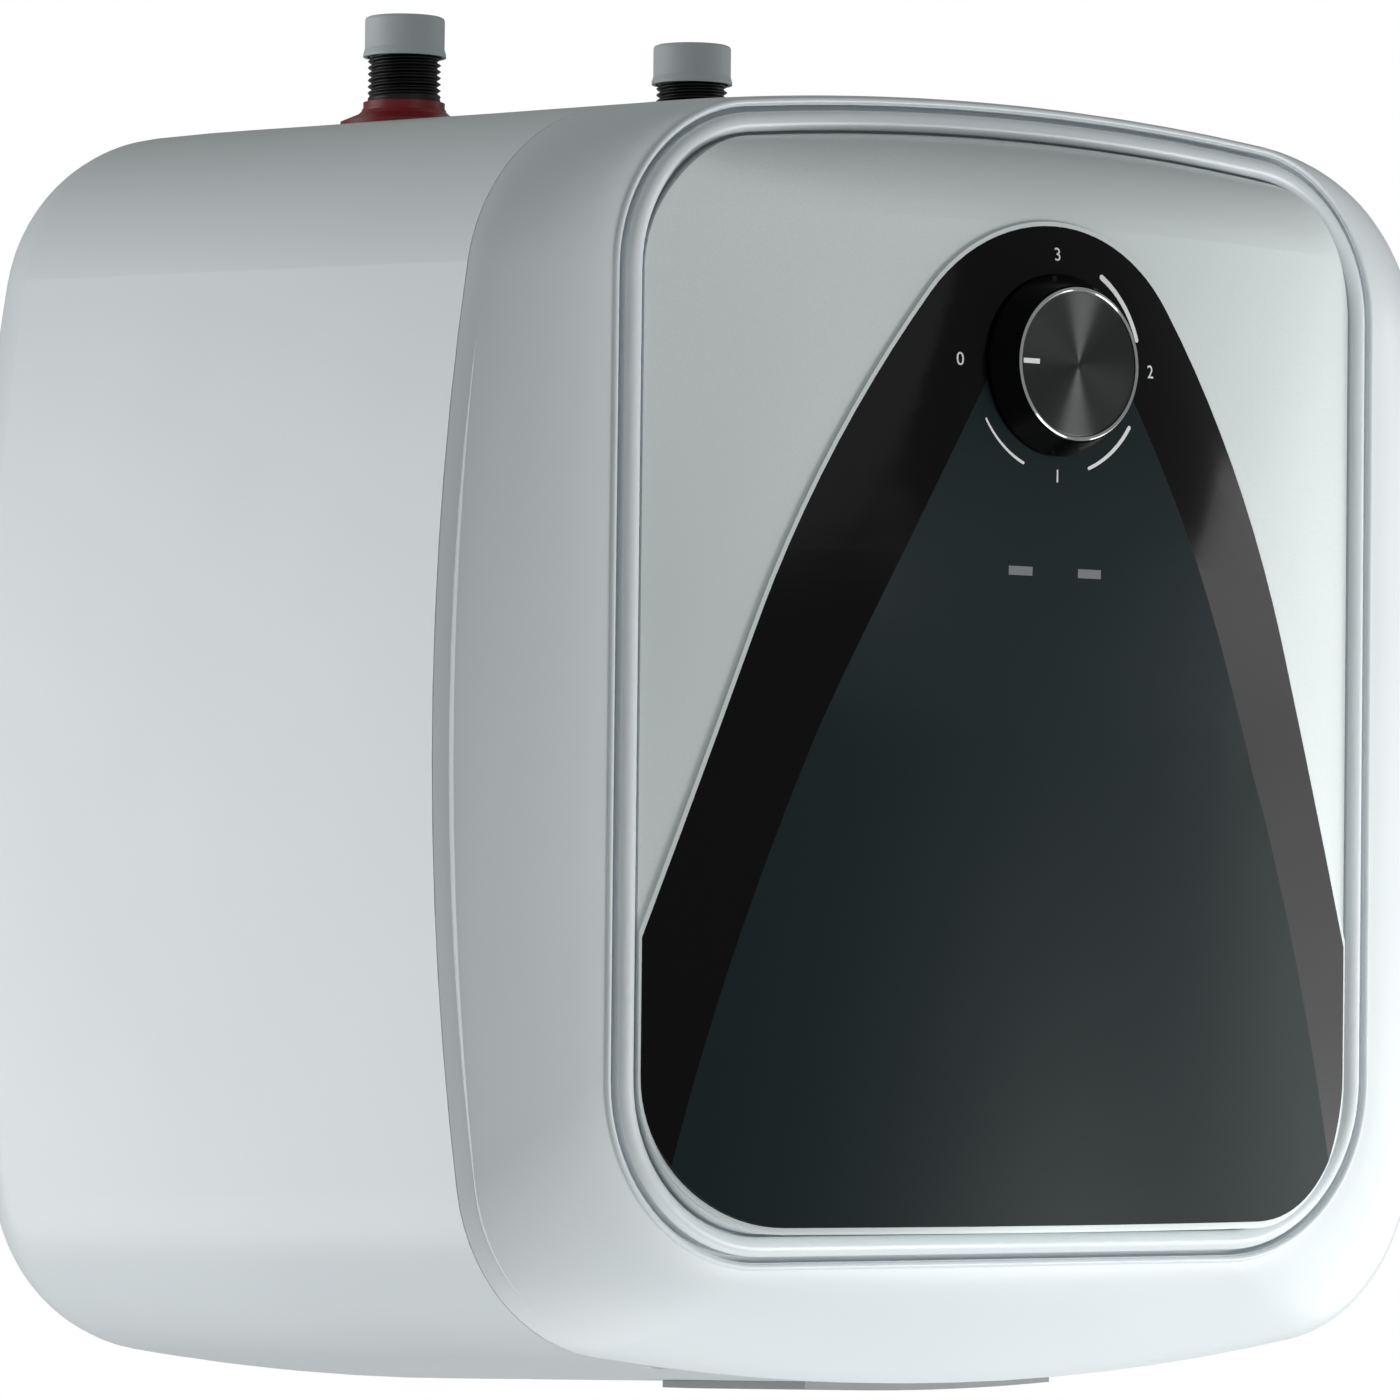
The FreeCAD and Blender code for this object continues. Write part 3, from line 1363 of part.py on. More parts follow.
def make_terminal_block():
    y = joint_y + (service_front + service_back) / 2
    z = terminal_base_z()
    half = terminal_length / 2
    block = box(-half, half, y - terminal_width / 2, y + terminal_width / 2, z - 1.0, z + terminal_height)
    block = block.common(case_block(case_wall + seat_gap, joint_y - 2.0))
    for i in (-1, 0, 1):
        x = i * terminal_pitch
        block = block.cut(rod_z(x, y, 2.6, z + 4.0, z + terminal_height))
        block = block.cut(rod_y(x, z + 5.0, 1.9, y - terminal_width, y + terminal_width))
        if i < 1:
            block = block.cut(box(x + 6.0, x + 8.0, y - terminal_width, y + terminal_width,
                                  z + terminal_height - 3.0, z + terminal_height))
    return block


def make_terminal_screws():
    y = joint_y + (service_front + service_back) / 2
    z = terminal_base_z()
    return [rod_z(i * terminal_pitch, y, 2.6, z + 7.0, z + terminal_height - 2.0) for i in (-1, 0, 1)]


def lead(points):
    return tube_along(points, lead_radius, lead_bend)


def block_exit(x):
    """A lead's first points: out of the terminal block, up inside the foam's pocket and forward."""
    y = joint_y + (service_front + service_back) / 2 - terminal_width / 2
    z = terminal_base_z() + 5.0
    rise = z + wiring_rise
    return [vec(x, y, z), vec(x, y - 9, z), vec(x, y - 9, rise), vec(x, lane_y(), rise)]


def lane_y():
    """The plane in front of the flange's nuts in which the leads run."""
    return flange_front_y - nut_height - 9.0


def make_live_leads():
    """From the terminal block to the cutout, on to the thermostat and from there to the heater."""
    cx, cz = cutout_place()
    tab_y = flange_front_y - cutout_height - cutout_tab_length
    near_y = tab_y - 8.0
    tabs_y = thermostat_back_y() + thermostat_tab_length
    behind_y = tabs_y + 7.0
    left, right = terminal_tab_places()[:2]
    pin_x, pin_z = element_places()[1]
    pin_y = flange_front_y - element_pin_reach
    feed = block_exit(-terminal_pitch)
    feed += [vec(cx - 4, near_y, cz - 30), vec(cx - 4, near_y, cz), vec(cx - 4, tab_y, cz)]
    link = [vec(cx + 4, tab_y, cz), vec(cx + 4, near_y, cz), vec(cx - 10, near_y, cz + lead_sweep),
            vec(cx - 10, behind_y, dial_z - lead_sweep), vec(left[0], behind_y, dial_z + left[1]),
            vec(left[0], tabs_y, dial_z + left[1])]
    out = [vec(right[0], tabs_y, dial_z + right[1]), vec(right[0], behind_y, dial_z + right[1]),
           vec(right[0] + 20, behind_y, dial_z - lead_sweep), vec(right[0] + 20, near_y, cz + lead_sweep),
           vec(pin_x, near_y, pin_z), vec(pin_x, pin_y, pin_z)]
    return [lead(feed), lead(link), lead(out)]


def make_neutral_lead():
    pin_x, pin_z = element_places()[0]
    pin_y = flange_front_y - element_pin_reach
    return lead(block_exit(0.0) + [vec(pin_x, pin_y - 7, pin_z - 24), vec(pin_x, pin_y - 7, pin_z),
                                   vec(pin_x, pin_y, pin_z)])


def make_earth_lead():
    x, z = earth_place()
    end_y = flange_front_y - earth_stud_length
    return lead(block_exit(terminal_pitch) + [vec(earth_lead_side, lane_y(), z - lead_sweep),
                                              vec(earth_lead_side, lane_y(), z),
                                              vec(x + 6, end_y - 6, z), vec(x, end_y - 6, z),
                                              vec(x, end_y, z)])


def export(name, shape):
    """Writes one piece, or several like pieces, to a file of its own."""
    solids = shape if isinstance(shape, list) else [shape]
    whole = Part.makeCompound([solid for piece in solids for solid in piece.Solids])
    if len(whole.Solids) == 1:
        whole = whole.Solids[0]
    whole.exportStep("parts/" + name + ".step")
    print(name, len(whole.Solids), "solids", round(whole.Volume / 1000, 2), "cm3", whole.isValid())


def main():
    os.makedirs("parts", exist_ok=True)
    export("rear_case", make_rear_case())
    export("front_cover", make_front_cover())
    export("trim_ring", make_trim_ring())
    export("face_plate", make_face_plate())
    export("control_panel", make_control_panel())
    export("power_lens", make_lens(1))
    export("heating_lens", make_lens(-1))
    export("indicator_board", make_indicator_board())
    export("indicator_leds", make_leds())
    export("board_screws", make_board_screws())
    export("plate_screws", make_plate_screws())
    export("cover_screws", make_cover_screws())
    export("knob_body", make_knob_body())
    export("knob_rim", make_knob_rim())
    export("knob_face", make_knob_face())
    export("knob_pointer", make_knob_pointer())
    export("thermostat_spindle", make_spindle())
    export("thermostat_plate", make_thermostat_plate())
    export("thermostat_body", make_thermostat_body())
    export("thermostat_tabs", make_thermostat_tabs())
    export("thermostat_screws", make_thermostat_screws())
    export("capillary_tube", make_capillary())
    export("sensing_bulb", make_bulb())
    export("thermowell", make_thermowell())
    export("inner_tank", make_inner_tank())
    export("flange_gasket", make_flange_gasket())
    export("flange_plate", make_flange_plate())
    export("flange_nuts", make_flange_nuts())
    export("heating_element", make_heating_element())
    export("anode_rod", make_anode())
    export("anode_nut", make_anode_nut())
    export("safety_cutout", make_cutout())
    export("cutout_clip", make_cutout_clip())
    export("earth_stud", make_earth_stud())
    export("earth_nut", make_earth_nut())
    export("insulation_front", make_insulation_front())
    export("insulation_rear", make_insulation_rear())
    export("tank_bracket", make_tank_bracket())
    export("hanger_rail", make_hanger_rail())
    export("rail_nuts", make_rail_nuts())
    export("wall_spacers", make_wall_spacers())
    export("hot_nipple", make_pipe(-1))
    export("cold_nipple", make_pipe(1))
    export("hot_outlet_tube", make_inner_tube(-1, middle_z + 100))
    export("cold_dip_tube", make_inner_tube(1, middle_z - dip_tube_bottom))
    export("hot_collar", make_collar(-1))
    export("cold_collar", make_collar(1))
    export("hot_cap", make_cap(-1))
    export("cold_cap", make_cap(1))
    export("cord_bush", make_cord_bush())
    export("cord_bush_nut", make_cord_nut())
    export("service_plate", make_service_plate())
    export("service_screws", make_service_screws())
    export("terminal_block", make_terminal_block())
    export("terminal_screws", make_terminal_screws())
    export("live_leads", make_live_leads())
    export("neutral_lead", make_neutral_lead())
    export("earth_lead", make_earth_lead())


main()
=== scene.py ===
"""The looks of the water heater: materials, threads, the dial's scale, light and camera."""
import json
import math

import bmesh
import bpy
from mathutils import Matrix, Vector
from mathutils.bvhtree import BVHTree


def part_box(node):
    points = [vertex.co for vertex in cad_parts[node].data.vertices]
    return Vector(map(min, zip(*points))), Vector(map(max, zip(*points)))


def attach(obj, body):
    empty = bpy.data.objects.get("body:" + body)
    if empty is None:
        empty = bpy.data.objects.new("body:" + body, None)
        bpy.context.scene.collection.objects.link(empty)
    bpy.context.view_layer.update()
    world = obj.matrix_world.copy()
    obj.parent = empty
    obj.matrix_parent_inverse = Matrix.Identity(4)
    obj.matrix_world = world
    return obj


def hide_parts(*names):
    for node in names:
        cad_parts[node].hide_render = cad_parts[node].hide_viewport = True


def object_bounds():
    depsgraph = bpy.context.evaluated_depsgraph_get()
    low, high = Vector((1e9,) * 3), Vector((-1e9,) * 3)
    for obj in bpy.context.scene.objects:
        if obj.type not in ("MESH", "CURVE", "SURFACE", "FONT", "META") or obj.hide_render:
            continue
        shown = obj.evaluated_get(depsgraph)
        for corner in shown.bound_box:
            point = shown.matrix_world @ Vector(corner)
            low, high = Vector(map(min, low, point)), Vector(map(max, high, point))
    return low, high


# Lengths are in metres.
MM = 0.001

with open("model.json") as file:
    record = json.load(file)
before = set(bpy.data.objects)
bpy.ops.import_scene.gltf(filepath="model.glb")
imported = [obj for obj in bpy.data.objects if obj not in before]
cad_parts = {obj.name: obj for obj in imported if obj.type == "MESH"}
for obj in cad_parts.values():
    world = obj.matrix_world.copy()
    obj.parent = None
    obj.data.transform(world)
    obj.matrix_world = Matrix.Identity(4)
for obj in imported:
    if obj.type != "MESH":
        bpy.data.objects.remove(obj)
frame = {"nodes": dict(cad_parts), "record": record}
cad_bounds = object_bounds()

# Places, from the frame.
lowest = cad_bounds[0][2]
panel_box = [Vector(corner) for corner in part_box("control_panel")]
knob_box = [Vector(corner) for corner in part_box("knob_body")]
dial_x = (knob_box[0].x + knob_box[1].x) / 2
dial_z = (knob_box[0].z + knob_box[1].z) / 2
pad_y = panel_box[0].y
middle_y = (cad_bounds[0][1] + cad_bounds[1][1]) / 2
middle_z = (panel_box[0].z + panel_box[1].z) / 2

# The camera: a long lens, nearly level, to the left of the middle. The focal length is in pixels of a
# frame that is 1400 pixels wide.
FRAME_PIXELS = 1400
FOCAL_PIXELS = 7786.5
SENSOR_WIDTH = 36.0
CAMERA_YAW = math.radians(-36.66)
CAMERA_PITCH = math.radians(-2.01)
CAMERA_ROLL = math.radians(0.61)
CAMERA_DISTANCE = 2.101
CAMERA_TARGET = Vector((0.0, -0.248, -0.100))
TARGET_RIGHT = -0.06953
TARGET_UP = 0.01125
CAMERA_REACH = 100

# The pipe thread: half inch, 14 threads to the inch, with a flat at crest and root.
THREAD_PITCH = 25.4 / 14 * MM
THREAD_DEPTH = 1.16 * MM
THREAD_FLAT = 0.08
THREAD_FADE_TURNS = 1.5
THREAD_ABOVE_COLLAR = 0.6 * MM
THREAD_BELOW_END = 0.4 * MM
THREAD_SIDES = 72
THREAD_ROWS_PER_TURN = 8
PIPE_WALL = 3.08 * MM

# The scale round the knob: arcs that are printed a little above the panel, and numbers.
SCALE_RADIUS = 28.9 * MM
SCALE_LIFT = 0.06 * MM
# Each arc's name, its two ends in degrees from the right, turning upward, and its widths there.
ARCS = (
    ("scale_low", 212, 246, 0.55 * MM, 0.8 * MM),
    ("scale_middle", 292, 328, 0.9 * MM, 1.15 * MM),
    ("scale_high", 17, 58, 1.3 * MM, 1.6 * MM),
)
ARC_STEPS = 40
ARC_CAP_STEPS = 8
NUMBER_HEIGHT = 3.6 * MM
# A digit's height as a share of the font's size.
DIGIT_SHARE = 0.72
DIGIT_SMOOTHNESS = 6
# Each number, its angle from the right, turning upward, and its distance from the dial's centre.
NUMBERS = (("0", 180, 32.6 * MM), ("1", 270, 29.6 * MM), ("2", 0, 32.6 * MM), ("3", 90, 29.6 * MM))
PRINT_ROOT = 0.02 * MM
SAME_POINT = 0.001 * MM
SEARCH_ROOM = 20 * MM

# The creases beside the panel's tongue: distance from the middle, height from the dial's centre.
CREASE = ((28.3 * MM, -11.8 * MM), (73.6 * MM, -99.3 * MM), (110.5 * MM, -204.3 * MM))
CREASE_TOP = 8.7 * MM
CREASE_SOFTNESS = 0.3 * MM

# The panel's two finishes.
BAND_BLACK = (0.0020, 0.0018, 0.0018)
TONGUE_BLACK = (0.0036, 0.0130, 0.0140)
BAND_ROUGHNESS = 0.12
TONGUE_ROUGHNESS = 0.36

# Noise scales, for objects in metres: slow drifts, finish, stains, lines, and the two finest grains.
PAINT_DRIFT_SCALE = 6.0
DRIFT_SCALE = 7.0
FINISH_SCALE = 40.0
STAIN_SCALE = 60.0
LINE_SCALE = 900.0
GRAIN_SCALE = 2200.0
FLAKE_SCALE = 2600.0

# The light: a dim even room and five round soft boxes that face the heater.
ROOM_LEVEL = (0.245, 0.253, 0.25, 1.0)
LAMP_DISTANCE = 1.3
# Name, turn from the front towards the right, height (both in degrees), size in metres, watts.
LAMPS = (
    ("left_rear", -125, -9, 1.5, 10.4),
    ("front", -2, 22, 0.7, 0.6),
    ("low_front", 37, -21, 0.5, 6.8),
    ("low_right", 79, -13, 1.2, 6.2),
    ("below", 0, -70, 1.2, 6.0),
)

# The floor, far below the heater, which hangs on a wall.
FLOOR_DROP = 1.40
FLOOR_REACH = 1.5
FLOOR_GLOW = (0.80, 0.80, 0.80, 1.0)
FLOOR_WHITE = (0.85, 0.85, 0.85)


def sockets(node, **values):
    """Sets a shader node's inputs by name, with _ for a space."""
    for name, value in values.items():
        node.inputs[name.replace("_", " ")].default_value = value
    return node


class Surface:
    """A material and its Principled shader, with helpers to add detail."""

    def __init__(self, name, colour, **values):
        self.material = bpy.data.materials.new(name)
        self.material.use_nodes = True
        self.tree = self.material.node_tree
        self.shader = self.tree.nodes["Principled BSDF"]
        self.colour = (*colour, 1.0)
        self.shader.inputs["Base Color"].default_value = self.colour
        sockets(self.shader, **values)
        self.place = self.tree.nodes.new("ShaderNodeTexCoord")
        self.height = None

    def node(self, kind, **values):
        """A new node of a kind, with its inputs set by name."""
        made = self.tree.nodes.new(kind)
        return sockets(made, **values)

    def link(self, start, end):
        """Joins an output to an input."""
        self.tree.links.new(start, end)

    def noise(self, scale, detail=3.0, roughness=0.55):
        """A noise in the object's own metres."""
        noise = self.node("ShaderNodeTexNoise", Scale=scale, Detail=detail, Roughness=roughness)
        self.link(self.place.outputs["Object"], noise.inputs["Vector"])
        return noise.outputs["Fac"]

    def tint(self, factor, other, low=0.35, high=0.65):
        """Mixes the colour with another, where the factor goes from low to high."""
        share = self.node("ShaderNodeMapRange")
        share.inputs["From Min"].default_value = low
        share.inputs["From Max"].default_value = high
        self.link(factor, share.inputs["Value"])
        mix = self.node("ShaderNodeMix")
        mix.data_type = "RGBA"
        mix.inputs["A"].default_value = self.colour
        base = self.shader.inputs["Base Color"]
        if base.is_linked:
            self.link(base.links[0].from_socket, mix.inputs["A"])
        mix.inputs["B"].default_value = (*other, 1.0)
        self.link(share.outputs["Result"], mix.inputs["Factor"])
        self.link(mix.outputs["Result"], base)

    def roughen(self, factor, low, high):
        """Takes the roughness from low to high with the factor."""
        share = self.node("ShaderNodeMapRange")
        share.inputs["To Min"].default_value = low
        share.inputs["To Max"].default_value = high
        self.link(factor, share.inputs["Value"])
        self.link(share.outputs["Result"], self.shader.inputs["Roughness"])

    def bump(self, factor, strength, distance):
        """Adds a bump on top of those already there."""
        bump = self.node("ShaderNodeBump", Strength=strength, Distance=distance)
        self.link(factor, bump.inputs["Height"])
        if self.height is not None:
            self.link(self.height, bump.inputs["Normal"])
        self.height = bump.outputs["Normal"]
        self.link(self.height, self.shader.inputs["Normal"])


def moulded_plastic(name, colour, roughness, grain=0.08, drift=0.97, coat=0.0, coat_roughness=0.12,
                    level=0.5):
    """Injection moulded plastic: a very fine grain, slow waves and a slight drift of colour."""
    surface = Surface(name, colour, Roughness=roughness, Coat_Weight=coat, Coat_Roughness=coat_roughness,
                      Specular_IOR_Level=level)
    slow = surface.noise(DRIFT_SCALE, 2.0)
    surface.tint(slow, tuple(part * drift for part in colour))
    surface.roughen(surface.noise(FINISH_SCALE), roughness * 0.88, roughness * 1.12)
    surface.bump(surface.noise(GRAIN_SCALE, 2.0), grain, 0.06 * MM)
    return surface


def dressed_metal(name, colour, roughness, scratch=0.12):
    """Metal with a fine uneven finish and small stains."""
    surface = Surface(name, colour, Metallic=1.0, Roughness=roughness)
    surface.tint(surface.noise(STAIN_SCALE), tuple(part * 0.8 for part in colour))
    lines = surface.noise(LINE_SCALE, 4.0, 0.6)
    surface.roughen(lines, roughness * 0.8, roughness * 1.3)
    surface.bump(lines, scratch, 0.08 * MM)
    return surface


def make_materials():
    """The materials by the name of their slot, with colours as linear red, green and blue."""
    made = {
        "case_white": moulded_plastic("case_white", (0.775, 0.83, 0.855), 0.36, coat=0.25,
                                      coat_roughness=0.24),
        "panel_black": two_finish_black(),
        "lens_clear": moulded_plastic("lens_clear", (0.22, 0.23, 0.24), 0.25),
        "knob_black": moulded_plastic("knob_black", (0.0008, 0.0009, 0.001), 0.2, grain=0.05, level=0.06),
        "mark_white": moulded_plastic("mark_white", (0.86, 0.87, 0.87), 0.45),
        "board_green": moulded_plastic("board_green", (0.03, 0.18, 0.08), 0.4),
        "led_clear": moulded_plastic("led_clear", (0.75, 0.25, 0.15), 0.2),
        "thermostat_plastic": moulded_plastic("thermostat_plastic", (0.30, 0.24, 0.17), 0.5),
        "rubber_black": moulded_plastic("rubber_black", (0.02, 0.02, 0.02), 0.75, grain=0.3),
        "foam": moulded_plastic("foam", (0.83, 0.76, 0.55), 0.9, grain=0.5, drift=0.85),
        "tube_plastic": moulded_plastic("tube_plastic", (0.82, 0.82, 0.78), 0.4),
        "collar_red": moulded_plastic("collar_red", (0.27, 0.012, 0.014), 0.36),
        "collar_blue": moulded_plastic("collar_blue", (0.012, 0.05, 0.20), 0.36),
        "cap_grey": moulded_plastic("cap_grey", (0.56, 0.61, 0.62), 0.5, grain=0.25),
        "service_grey": moulded_plastic("service_grey", (0.26, 0.268, 0.27), 0.5, grain=0.25),
        "terminal_white": moulded_plastic("terminal_white", (0.80, 0.78, 0.70), 0.45),
        "lead_brown": moulded_plastic("lead_brown", (0.16, 0.06, 0.03), 0.45),
        "lead_blue": moulded_plastic("lead_blue", (0.03, 0.10, 0.42), 0.45),
        "lead_green": moulded_plastic("lead_green", (0.08, 0.32, 0.06), 0.45),
        "knob_chrome": dressed_metal("knob_chrome", (0.88, 0.89, 0.90), 0.12, scratch=0.02),
        "steel": dressed_metal("steel", (0.62, 0.63, 0.64), 0.32),
        "brass": dressed_metal("brass", (0.72, 0.55, 0.28), 0.3),
        "copper": dressed_metal("copper", (0.75, 0.42, 0.28), 0.3),
        "tank_enamel": moulded_plastic("tank_enamel", (0.08, 0.14, 0.24), 0.3, drift=0.8, coat=0.4),
        "element_metal": dressed_metal("element_metal", (0.45, 0.38, 0.33), 0.35),
        "anode_metal": dressed_metal("anode_metal", (0.6, 0.61, 0.62), 0.5),
        "pipe_metal": dressed_metal("pipe_metal", (0.045, 0.045, 0.045), 0.38),
        "plate_silver": silver_paint(),
        "knob_metal": spun_metal(),
    }
    return {name: surface.material for name, surface in made.items()}


def tongue_mask(surface):
    """1 on the panel's tongue, between its two creases, and 0 on the band round it."""
    (x0, z0), (x1, z1), (x2, z2) = CREASE
    first = (x1 - x0) / (z1 - z0)
    second = ((x2 - x1) / (z2 - z1) - first) / (z2 - z0)

    def calculate(operation, *values):
        """A sum of numbers and of other nodes' outputs."""
        made = surface.node("ShaderNodeMath")
        made.operation = operation
        for socket, value in zip(made.inputs, values):
            if isinstance(value, float):
                socket.default_value = value
            else:
                surface.link(value, socket)
        return made.outputs[0]

    split = surface.node("ShaderNodeSeparateXYZ")
    surface.link(surface.place.outputs["Object"], split.inputs[0])
    height = calculate("SUBTRACT", split.outputs["Z"], dial_z)
    from_top = calculate("SUBTRACT", height, z0)
    bend = calculate("MULTIPLY", calculate("SUBTRACT", height, z1), second)
    crease = calculate("MULTIPLY_ADD", from_top, calculate("ADD", bend, first), x0)
    aside = calculate("ABSOLUTE", calculate("SUBTRACT", split.outputs["X"], dial_x))
    inside = calculate("SUBTRACT", crease, aside)
    below = calculate("SUBTRACT", CREASE_TOP, height)
    nearest = calculate("MINIMUM", inside, below)
    share = calculate("MULTIPLY_ADD", nearest, 1 / CREASE_SOFTNESS, 0.5)
    share.node.use_clamp = True
    return share


def two_finish_black():
    """The panel: a glossy black band round a satin tongue with a green cast."""
    surface = Surface("panel_black", BAND_BLACK, Roughness=BAND_ROUGHNESS, Specular_IOR_Level=0.21)
    mask = tongue_mask(surface)
    surface.tint(mask, TONGUE_BLACK, 0.0, 1.0)
    surface.roughen(mask, BAND_ROUGHNESS, TONGUE_ROUGHNESS)
    grain = surface.node("ShaderNodeMath")
    grain.operation = "MULTIPLY"
    surface.link(surface.noise(FLAKE_SCALE, 2.0), grain.inputs[0])
    surface.link(mask, grain.inputs[1])
    surface.bump(grain.outputs[0], 0.10, 0.05 * MM)
    return surface


def silver_paint():
    """Pale silver paint: fine flakes under a clear coat."""
    surface = Surface("plate_silver", (0.74, 0.80, 0.80), Metallic=0.2, Roughness=0.40,
                      Coat_Weight=0.5, Coat_Roughness=0.18)
    surface.tint(surface.noise(FLAKE_SCALE, 2.0), (0.80, 0.86, 0.86))
    surface.tint(surface.noise(PAINT_DRIFT_SCALE, 2.0), (0.72, 0.78, 0.78))
    surface.bump(surface.noise(FLAKE_SCALE, 2.0), 0.06, 0.05 * MM)
    return surface


def spun_metal():
    """A disc turned on a lathe: rings too fine to count, which spread light along the radius."""
    surface = Surface("knob_metal", (0.08, 0.082, 0.082), Metallic=1.0, Roughness=0.28, Anisotropic=0.98,
                      Anisotropic_Rotation=0.25)
    tangent = surface.node("ShaderNodeTangent")
    tangent.direction_type = "RADIAL"
    tangent.axis = "Y"
    surface.link(tangent.outputs["Tangent"], surface.shader.inputs["Tangent"])
    shift = surface.node("ShaderNodeVectorMath")
    shift.operation = "SUBTRACT"
    shift.inputs[1].default_value = (dial_x, 0, dial_z)
    surface.link(surface.place.outputs["Object"], shift.inputs[0])
    rings = surface.node("ShaderNodeTexWave", Scale=LINE_SCALE, Distortion=0.4, Detail=2.0)
    rings.wave_type = "RINGS"
    rings.rings_direction = "Y"
    surface.link(shift.outputs["Vector"], rings.inputs["Vector"])
    surface.bump(rings.outputs["Fac"], 0.12, 0.04 * MM)
    return surface


def dress(materials):
    """Gives each CAD node the material of its slot."""
    for part in frame["record"]["subparts"]:
        node = frame["nodes"][part["node"]]
        node.data.materials.clear()
        node.data.materials.append(materials[part["material_slot"]])


def mesh_object(name, points, faces, smooth=True):
    """An object in the scene, from its points and faces."""
    mesh = bpy.data.meshes.new(name)
    mesh.from_pydata(points, [], faces)
    mesh.validate()
    mesh.polygons.foreach_set("use_smooth", [smooth] * len(mesh.polygons))
    piece = bpy.data.objects.new(name, mesh)
    bpy.context.scene.collection.objects.link(piece)
    return piece


def thread_radius(outer, z, angle):
    """The radius of a vee thread with flat crests and roots, at a height and an angle."""
    phase = (z / THREAD_PITCH - angle / (2 * math.pi)) % 1.0
    slope = abs(2 * phase - 1)
    rise = min(1.0, max(0.0, (slope - THREAD_FLAT) / (1 - 2 * THREAD_FLAT)))
    return outer - THREAD_DEPTH * (1 - rise)


def make_threaded_pipe(name, node, collar, materials):
    """The pipe nipple with its thread cut, in place of the plain one."""
    low, high = [Vector(corner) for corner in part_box(node)]
    collar_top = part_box(collar)[1][2]
    outer = (high.x - low.x) / 2
    bore = outer - PIPE_WALL
    centre = (low + high) / 2
    thread_start = collar_top + THREAD_ABOVE_COLLAR
    rows = [(low.z, 0.0), (thread_start, 0.0)]
    step = THREAD_PITCH / THREAD_ROWS_PER_TURN
    fade = THREAD_FADE_TURNS * THREAD_PITCH
    z = thread_start + step
    while z < high.z - THREAD_BELOW_END:
        rows.append((z, min(1.0, (z - thread_start) / fade)))
        z += step
    rows.append((high.z, 1.0))
    points = []
    for z, share in rows:
        for side in range(THREAD_SIDES):
            angle = 2 * math.pi * side / THREAD_SIDES
            cut = outer - (outer - thread_radius(outer, z, angle)) * share
            points.append((centre.x + cut * math.cos(angle), centre.y + cut * math.sin(angle), z))
    for z in (high.z, low.z):
        for side in range(THREAD_SIDES):
            angle = 2 * math.pi * side / THREAD_SIDES
            points.append((centre.x + bore * math.cos(angle), centre.y + bore * math.sin(angle), z))
    faces = []
    loops = len(rows) + 2
    for row in range(loops):
        above = (row + 1) % loops
        for side in range(THREAD_SIDES):
            beside = (side + 1) % THREAD_SIDES
            faces.append((row * THREAD_SIDES + side, row * THREAD_SIDES + beside,
                          above * THREAD_SIDES + beside, above * THREAD_SIDES + side))
    piece = mesh_object(name, points, faces)
    piece.data.materials.append(materials["pipe_metal"])
    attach(piece, "root")
    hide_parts(node)


def panel_surface():
    """A tree of the panel's faces, to lay the prints on."""
    mesh = frame["nodes"]["control_panel"].data
    return BVHTree.FromPolygons([corner.co for corner in mesh.vertices],
                                [face.vertices for face in mesh.polygons])


def on_panel(x, z, lift):
    """The point of the panel's front at a place, lifted off it by a distance."""
    hit = panel_tree.ray_cast(Vector((x, pad_y - SEARCH_ROOM, z)), Vector((0, 1, 0)))[0]
    return (x, hit.y - lift, z)


def dial_point(radius, angle):
    """The place at an angle from the right of the dial, turning upward."""
    return (dial_x + radius * math.cos(angle), dial_z + radius * math.sin(angle))


def make_scale_arc(name, start, end, width_start, width_end, materials):
    """A printed arc that may widen from one end to the other, with round ends."""
    start = math.radians(start)
    end = math.radians(end)
    points_out = []
    points_in = []
    for step in range(ARC_STEPS + 1):
        share = step / ARC_STEPS
        angle = start + (end - start) * share
        half = (width_start + (width_end - width_start) * share) / 2
        points_out.append((SCALE_RADIUS + half, angle))
        points_in.append((SCALE_RADIUS - half, angle))
    turn = math.copysign(1.0, end - start)

    def cap(angle, half, direction):
        """The round end of the arc at an angle."""
        made = []
        for step in range(1, ARC_CAP_STEPS):
            bend = math.pi * step / ARC_CAP_STEPS
            made.append((SCALE_RADIUS + half * math.cos(bend),
                         angle + direction * half * math.sin(bend) / SCALE_RADIUS))
        return made

    end_cap = cap(end, width_end / 2, turn)
    start_cap = cap(start, width_start / 2, -turn)
    ring = points_out + end_cap + points_in[::-1] + start_cap[::-1]
    strip = bmesh.new()
    corners = []
    for radius, angle in ring:
        x, z = dial_point(radius, angle)
        corners.append(strip.verts.new((x, 0, z)))
    strip.faces.new(corners)
    bmesh.ops.triangulate(strip, faces=strip.faces)
    lay_print(name, strip, materials)


def lay_print(name, shape, materials):
    """Lays a flat outline in the XZ plane on the panel, as a thin raised print."""
    for point in shape.verts:
        point.co = on_panel(point.co.x, point.co.z, SCALE_LIFT)
    front = list(shape.faces)
    raised = bmesh.ops.extrude_face_region(shape, geom=front)["geom"]
    for point in raised:
        if isinstance(point, bmesh.types.BMVert):
            point.co.y += SCALE_LIFT + PRINT_ROOT
    bmesh.ops.recalc_face_normals(shape, faces=shape.faces)
    mesh = bpy.data.meshes.new(name)
    shape.to_mesh(mesh)
    shape.free()
    mesh.materials.append(materials["mark_white"])
    piece = bpy.data.objects.new(name, mesh)
    bpy.context.scene.collection.objects.link(piece)
    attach(piece, "root")


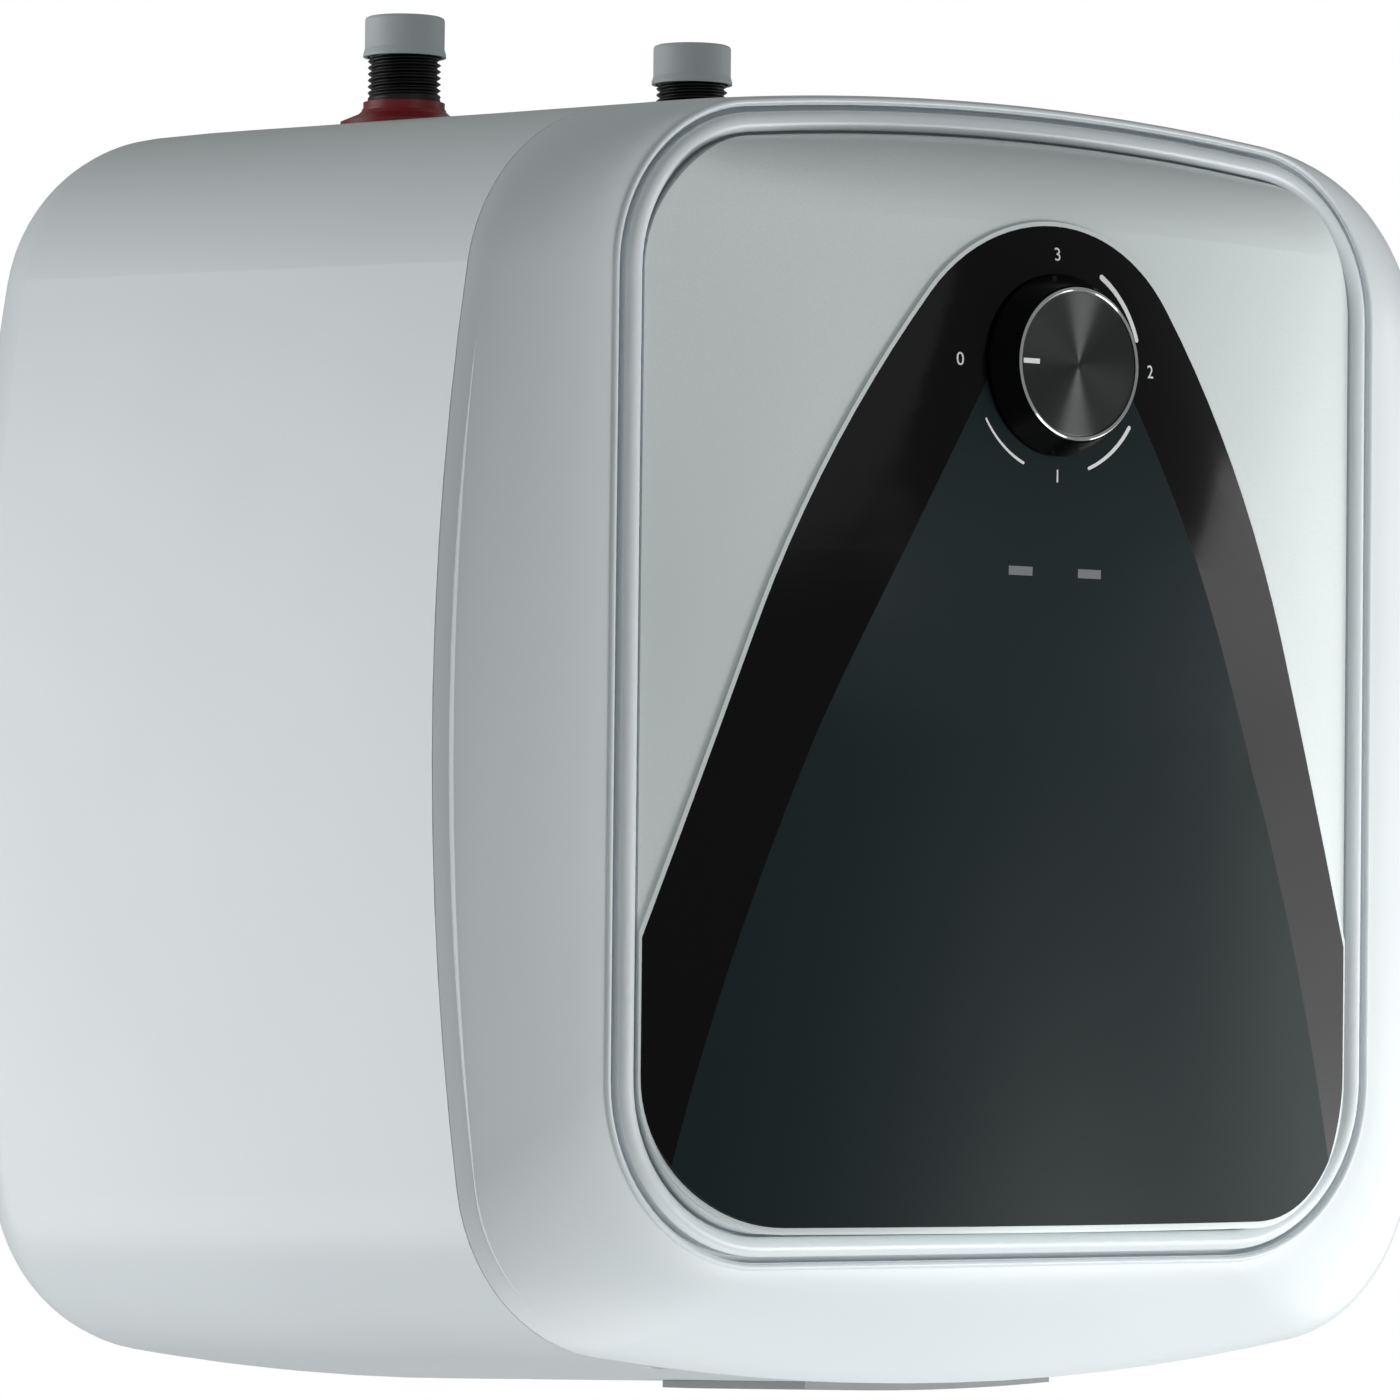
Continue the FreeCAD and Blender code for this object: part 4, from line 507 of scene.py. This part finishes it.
def make_number(digit, angle, radius, materials):
    """A printed number on the panel, upright."""
    x, z = dial_point(radius, math.radians(angle))
    words = bpy.data.curves.new("words", "FONT")
    words.body = digit
    words.size = NUMBER_HEIGHT / DIGIT_SHARE
    words.align_x = "CENTER"
    words.align_y = "CENTER"
    words.resolution_u = DIGIT_SMOOTHNESS
    shown = bpy.data.objects.new("words", words)
    bpy.context.scene.collection.objects.link(shown)
    bpy.context.view_layer.update()
    flat = bpy.data.meshes.new_from_object(shown)
    bpy.data.objects.remove(shown)
    flat.transform(Matrix.Translation((x, 0, z)) @ Matrix.Rotation(math.pi / 2, 4, "X"))
    shape = bmesh.new()
    shape.from_mesh(flat)
    bpy.data.meshes.remove(flat)
    bmesh.ops.remove_doubles(shape, verts=shape.verts, dist=SAME_POINT)
    bmesh.ops.triangulate(shape, faces=shape.faces)
    lay_print("number_" + digit, shape, materials)


def make_dial(materials):
    """The printed arcs and numbers round the knob."""
    for name, start, end, width_start, width_end in ARCS:
        make_scale_arc(name, start, end, width_start, width_end, materials)
    for digit, angle, radius in NUMBERS:
        make_number(digit, angle, radius, materials)


def make_camera():
    """The camera, which looks at a point beside the heater's middle."""
    forward = Vector((-math.sin(CAMERA_YAW) * math.cos(CAMERA_PITCH),
                      math.cos(CAMERA_YAW) * math.cos(CAMERA_PITCH),
                      -math.sin(CAMERA_PITCH)))
    right = forward.cross(Vector((0, 0, 1))).normalized()
    up = right.cross(forward)
    rolled_right = right * math.cos(CAMERA_ROLL) + up * math.sin(CAMERA_ROLL)
    rolled_up = up * math.cos(CAMERA_ROLL) - right * math.sin(CAMERA_ROLL)
    target = CAMERA_TARGET + rolled_right * TARGET_RIGHT + rolled_up * TARGET_UP
    place = target - forward * CAMERA_DISTANCE
    data = bpy.data.cameras.new("camera")
    data.sensor_width = SENSOR_WIDTH
    data.lens = FOCAL_PIXELS * SENSOR_WIDTH / FRAME_PIXELS
    data.clip_end = CAMERA_REACH
    camera = bpy.data.objects.new("camera", data)
    bpy.context.scene.collection.objects.link(camera)
    turn = Matrix((rolled_right, rolled_up, -forward)).transposed().to_4x4()
    camera.matrix_world = Matrix.Translation(place) @ turn
    bpy.context.scene.camera = camera


def make_lamp(name, turn, height, size, watts):
    """A round soft box that faces the middle of the heater's front."""
    turn = math.radians(turn)
    height = math.radians(height)
    aim = Vector((dial_x, middle_y, middle_z))
    out = Vector((math.sin(turn) * math.cos(height), -math.cos(turn) * math.cos(height), math.sin(height)))
    data = bpy.data.lights.new(name, "AREA")
    data.shape = "DISK"
    data.size = size
    data.energy = watts
    lamp = bpy.data.objects.new(name, data)
    lamp.visible_camera = False
    bpy.context.scene.collection.objects.link(lamp)
    facing = out.to_track_quat("Z", "Y").to_matrix().to_4x4()
    lamp.matrix_world = Matrix.Translation(aim + out * LAMP_DISTANCE) @ facing


def make_light():
    """The room, whose background the camera sees as white, and its lamps."""
    world = bpy.data.worlds.new("room")
    bpy.context.scene.world = world
    world.use_nodes = True
    tree = world.node_tree
    fill = tree.nodes["Background"]
    fill.inputs["Color"].default_value = ROOM_LEVEL
    seen = tree.nodes.new("ShaderNodeBackground")
    seen.inputs["Color"].default_value = (1, 1, 1, 1)
    paths = tree.nodes.new("ShaderNodeLightPath")
    mix = tree.nodes.new("ShaderNodeMixShader")
    tree.links.new(paths.outputs["Is Camera Ray"], mix.inputs["Fac"])
    tree.links.new(fill.outputs["Background"], mix.inputs[1])
    tree.links.new(seen.outputs["Background"], mix.inputs[2])
    tree.links.new(mix.outputs["Shader"], tree.nodes["World Output"].inputs["Surface"])
    for lamp in LAMPS:
        make_lamp(*lamp)
    bpy.context.scene.view_settings.view_transform = "Standard"


def make_floor():
    """A pale floor below the heater."""
    level = lowest - FLOOR_DROP
    corners = [(x * FLOOR_REACH, y * FLOOR_REACH, level) for x, y in ((-1, -1), (1, -1), (1, 1), (-1, 1))]
    floor = mesh_object("floor", corners, [(0, 1, 2, 3)], smooth=False)
    surface = Surface("floor_white", FLOOR_WHITE, Roughness=0.8)
    paths = surface.node("ShaderNodeLightPath")
    surface.link(paths.outputs["Is Camera Ray"], surface.shader.inputs["Emission Strength"])
    surface.shader.inputs["Emission Color"].default_value = FLOOR_GLOW
    floor.data.materials.append(surface.material)


materials = make_materials()
dress(materials)
make_threaded_pipe("hot_thread", "hot_nipple", "hot_collar", materials)
make_threaded_pipe("cold_thread", "cold_nipple", "cold_collar", materials)
panel_tree = panel_surface()
make_dial(materials)
make_camera()
make_light()
make_floor()
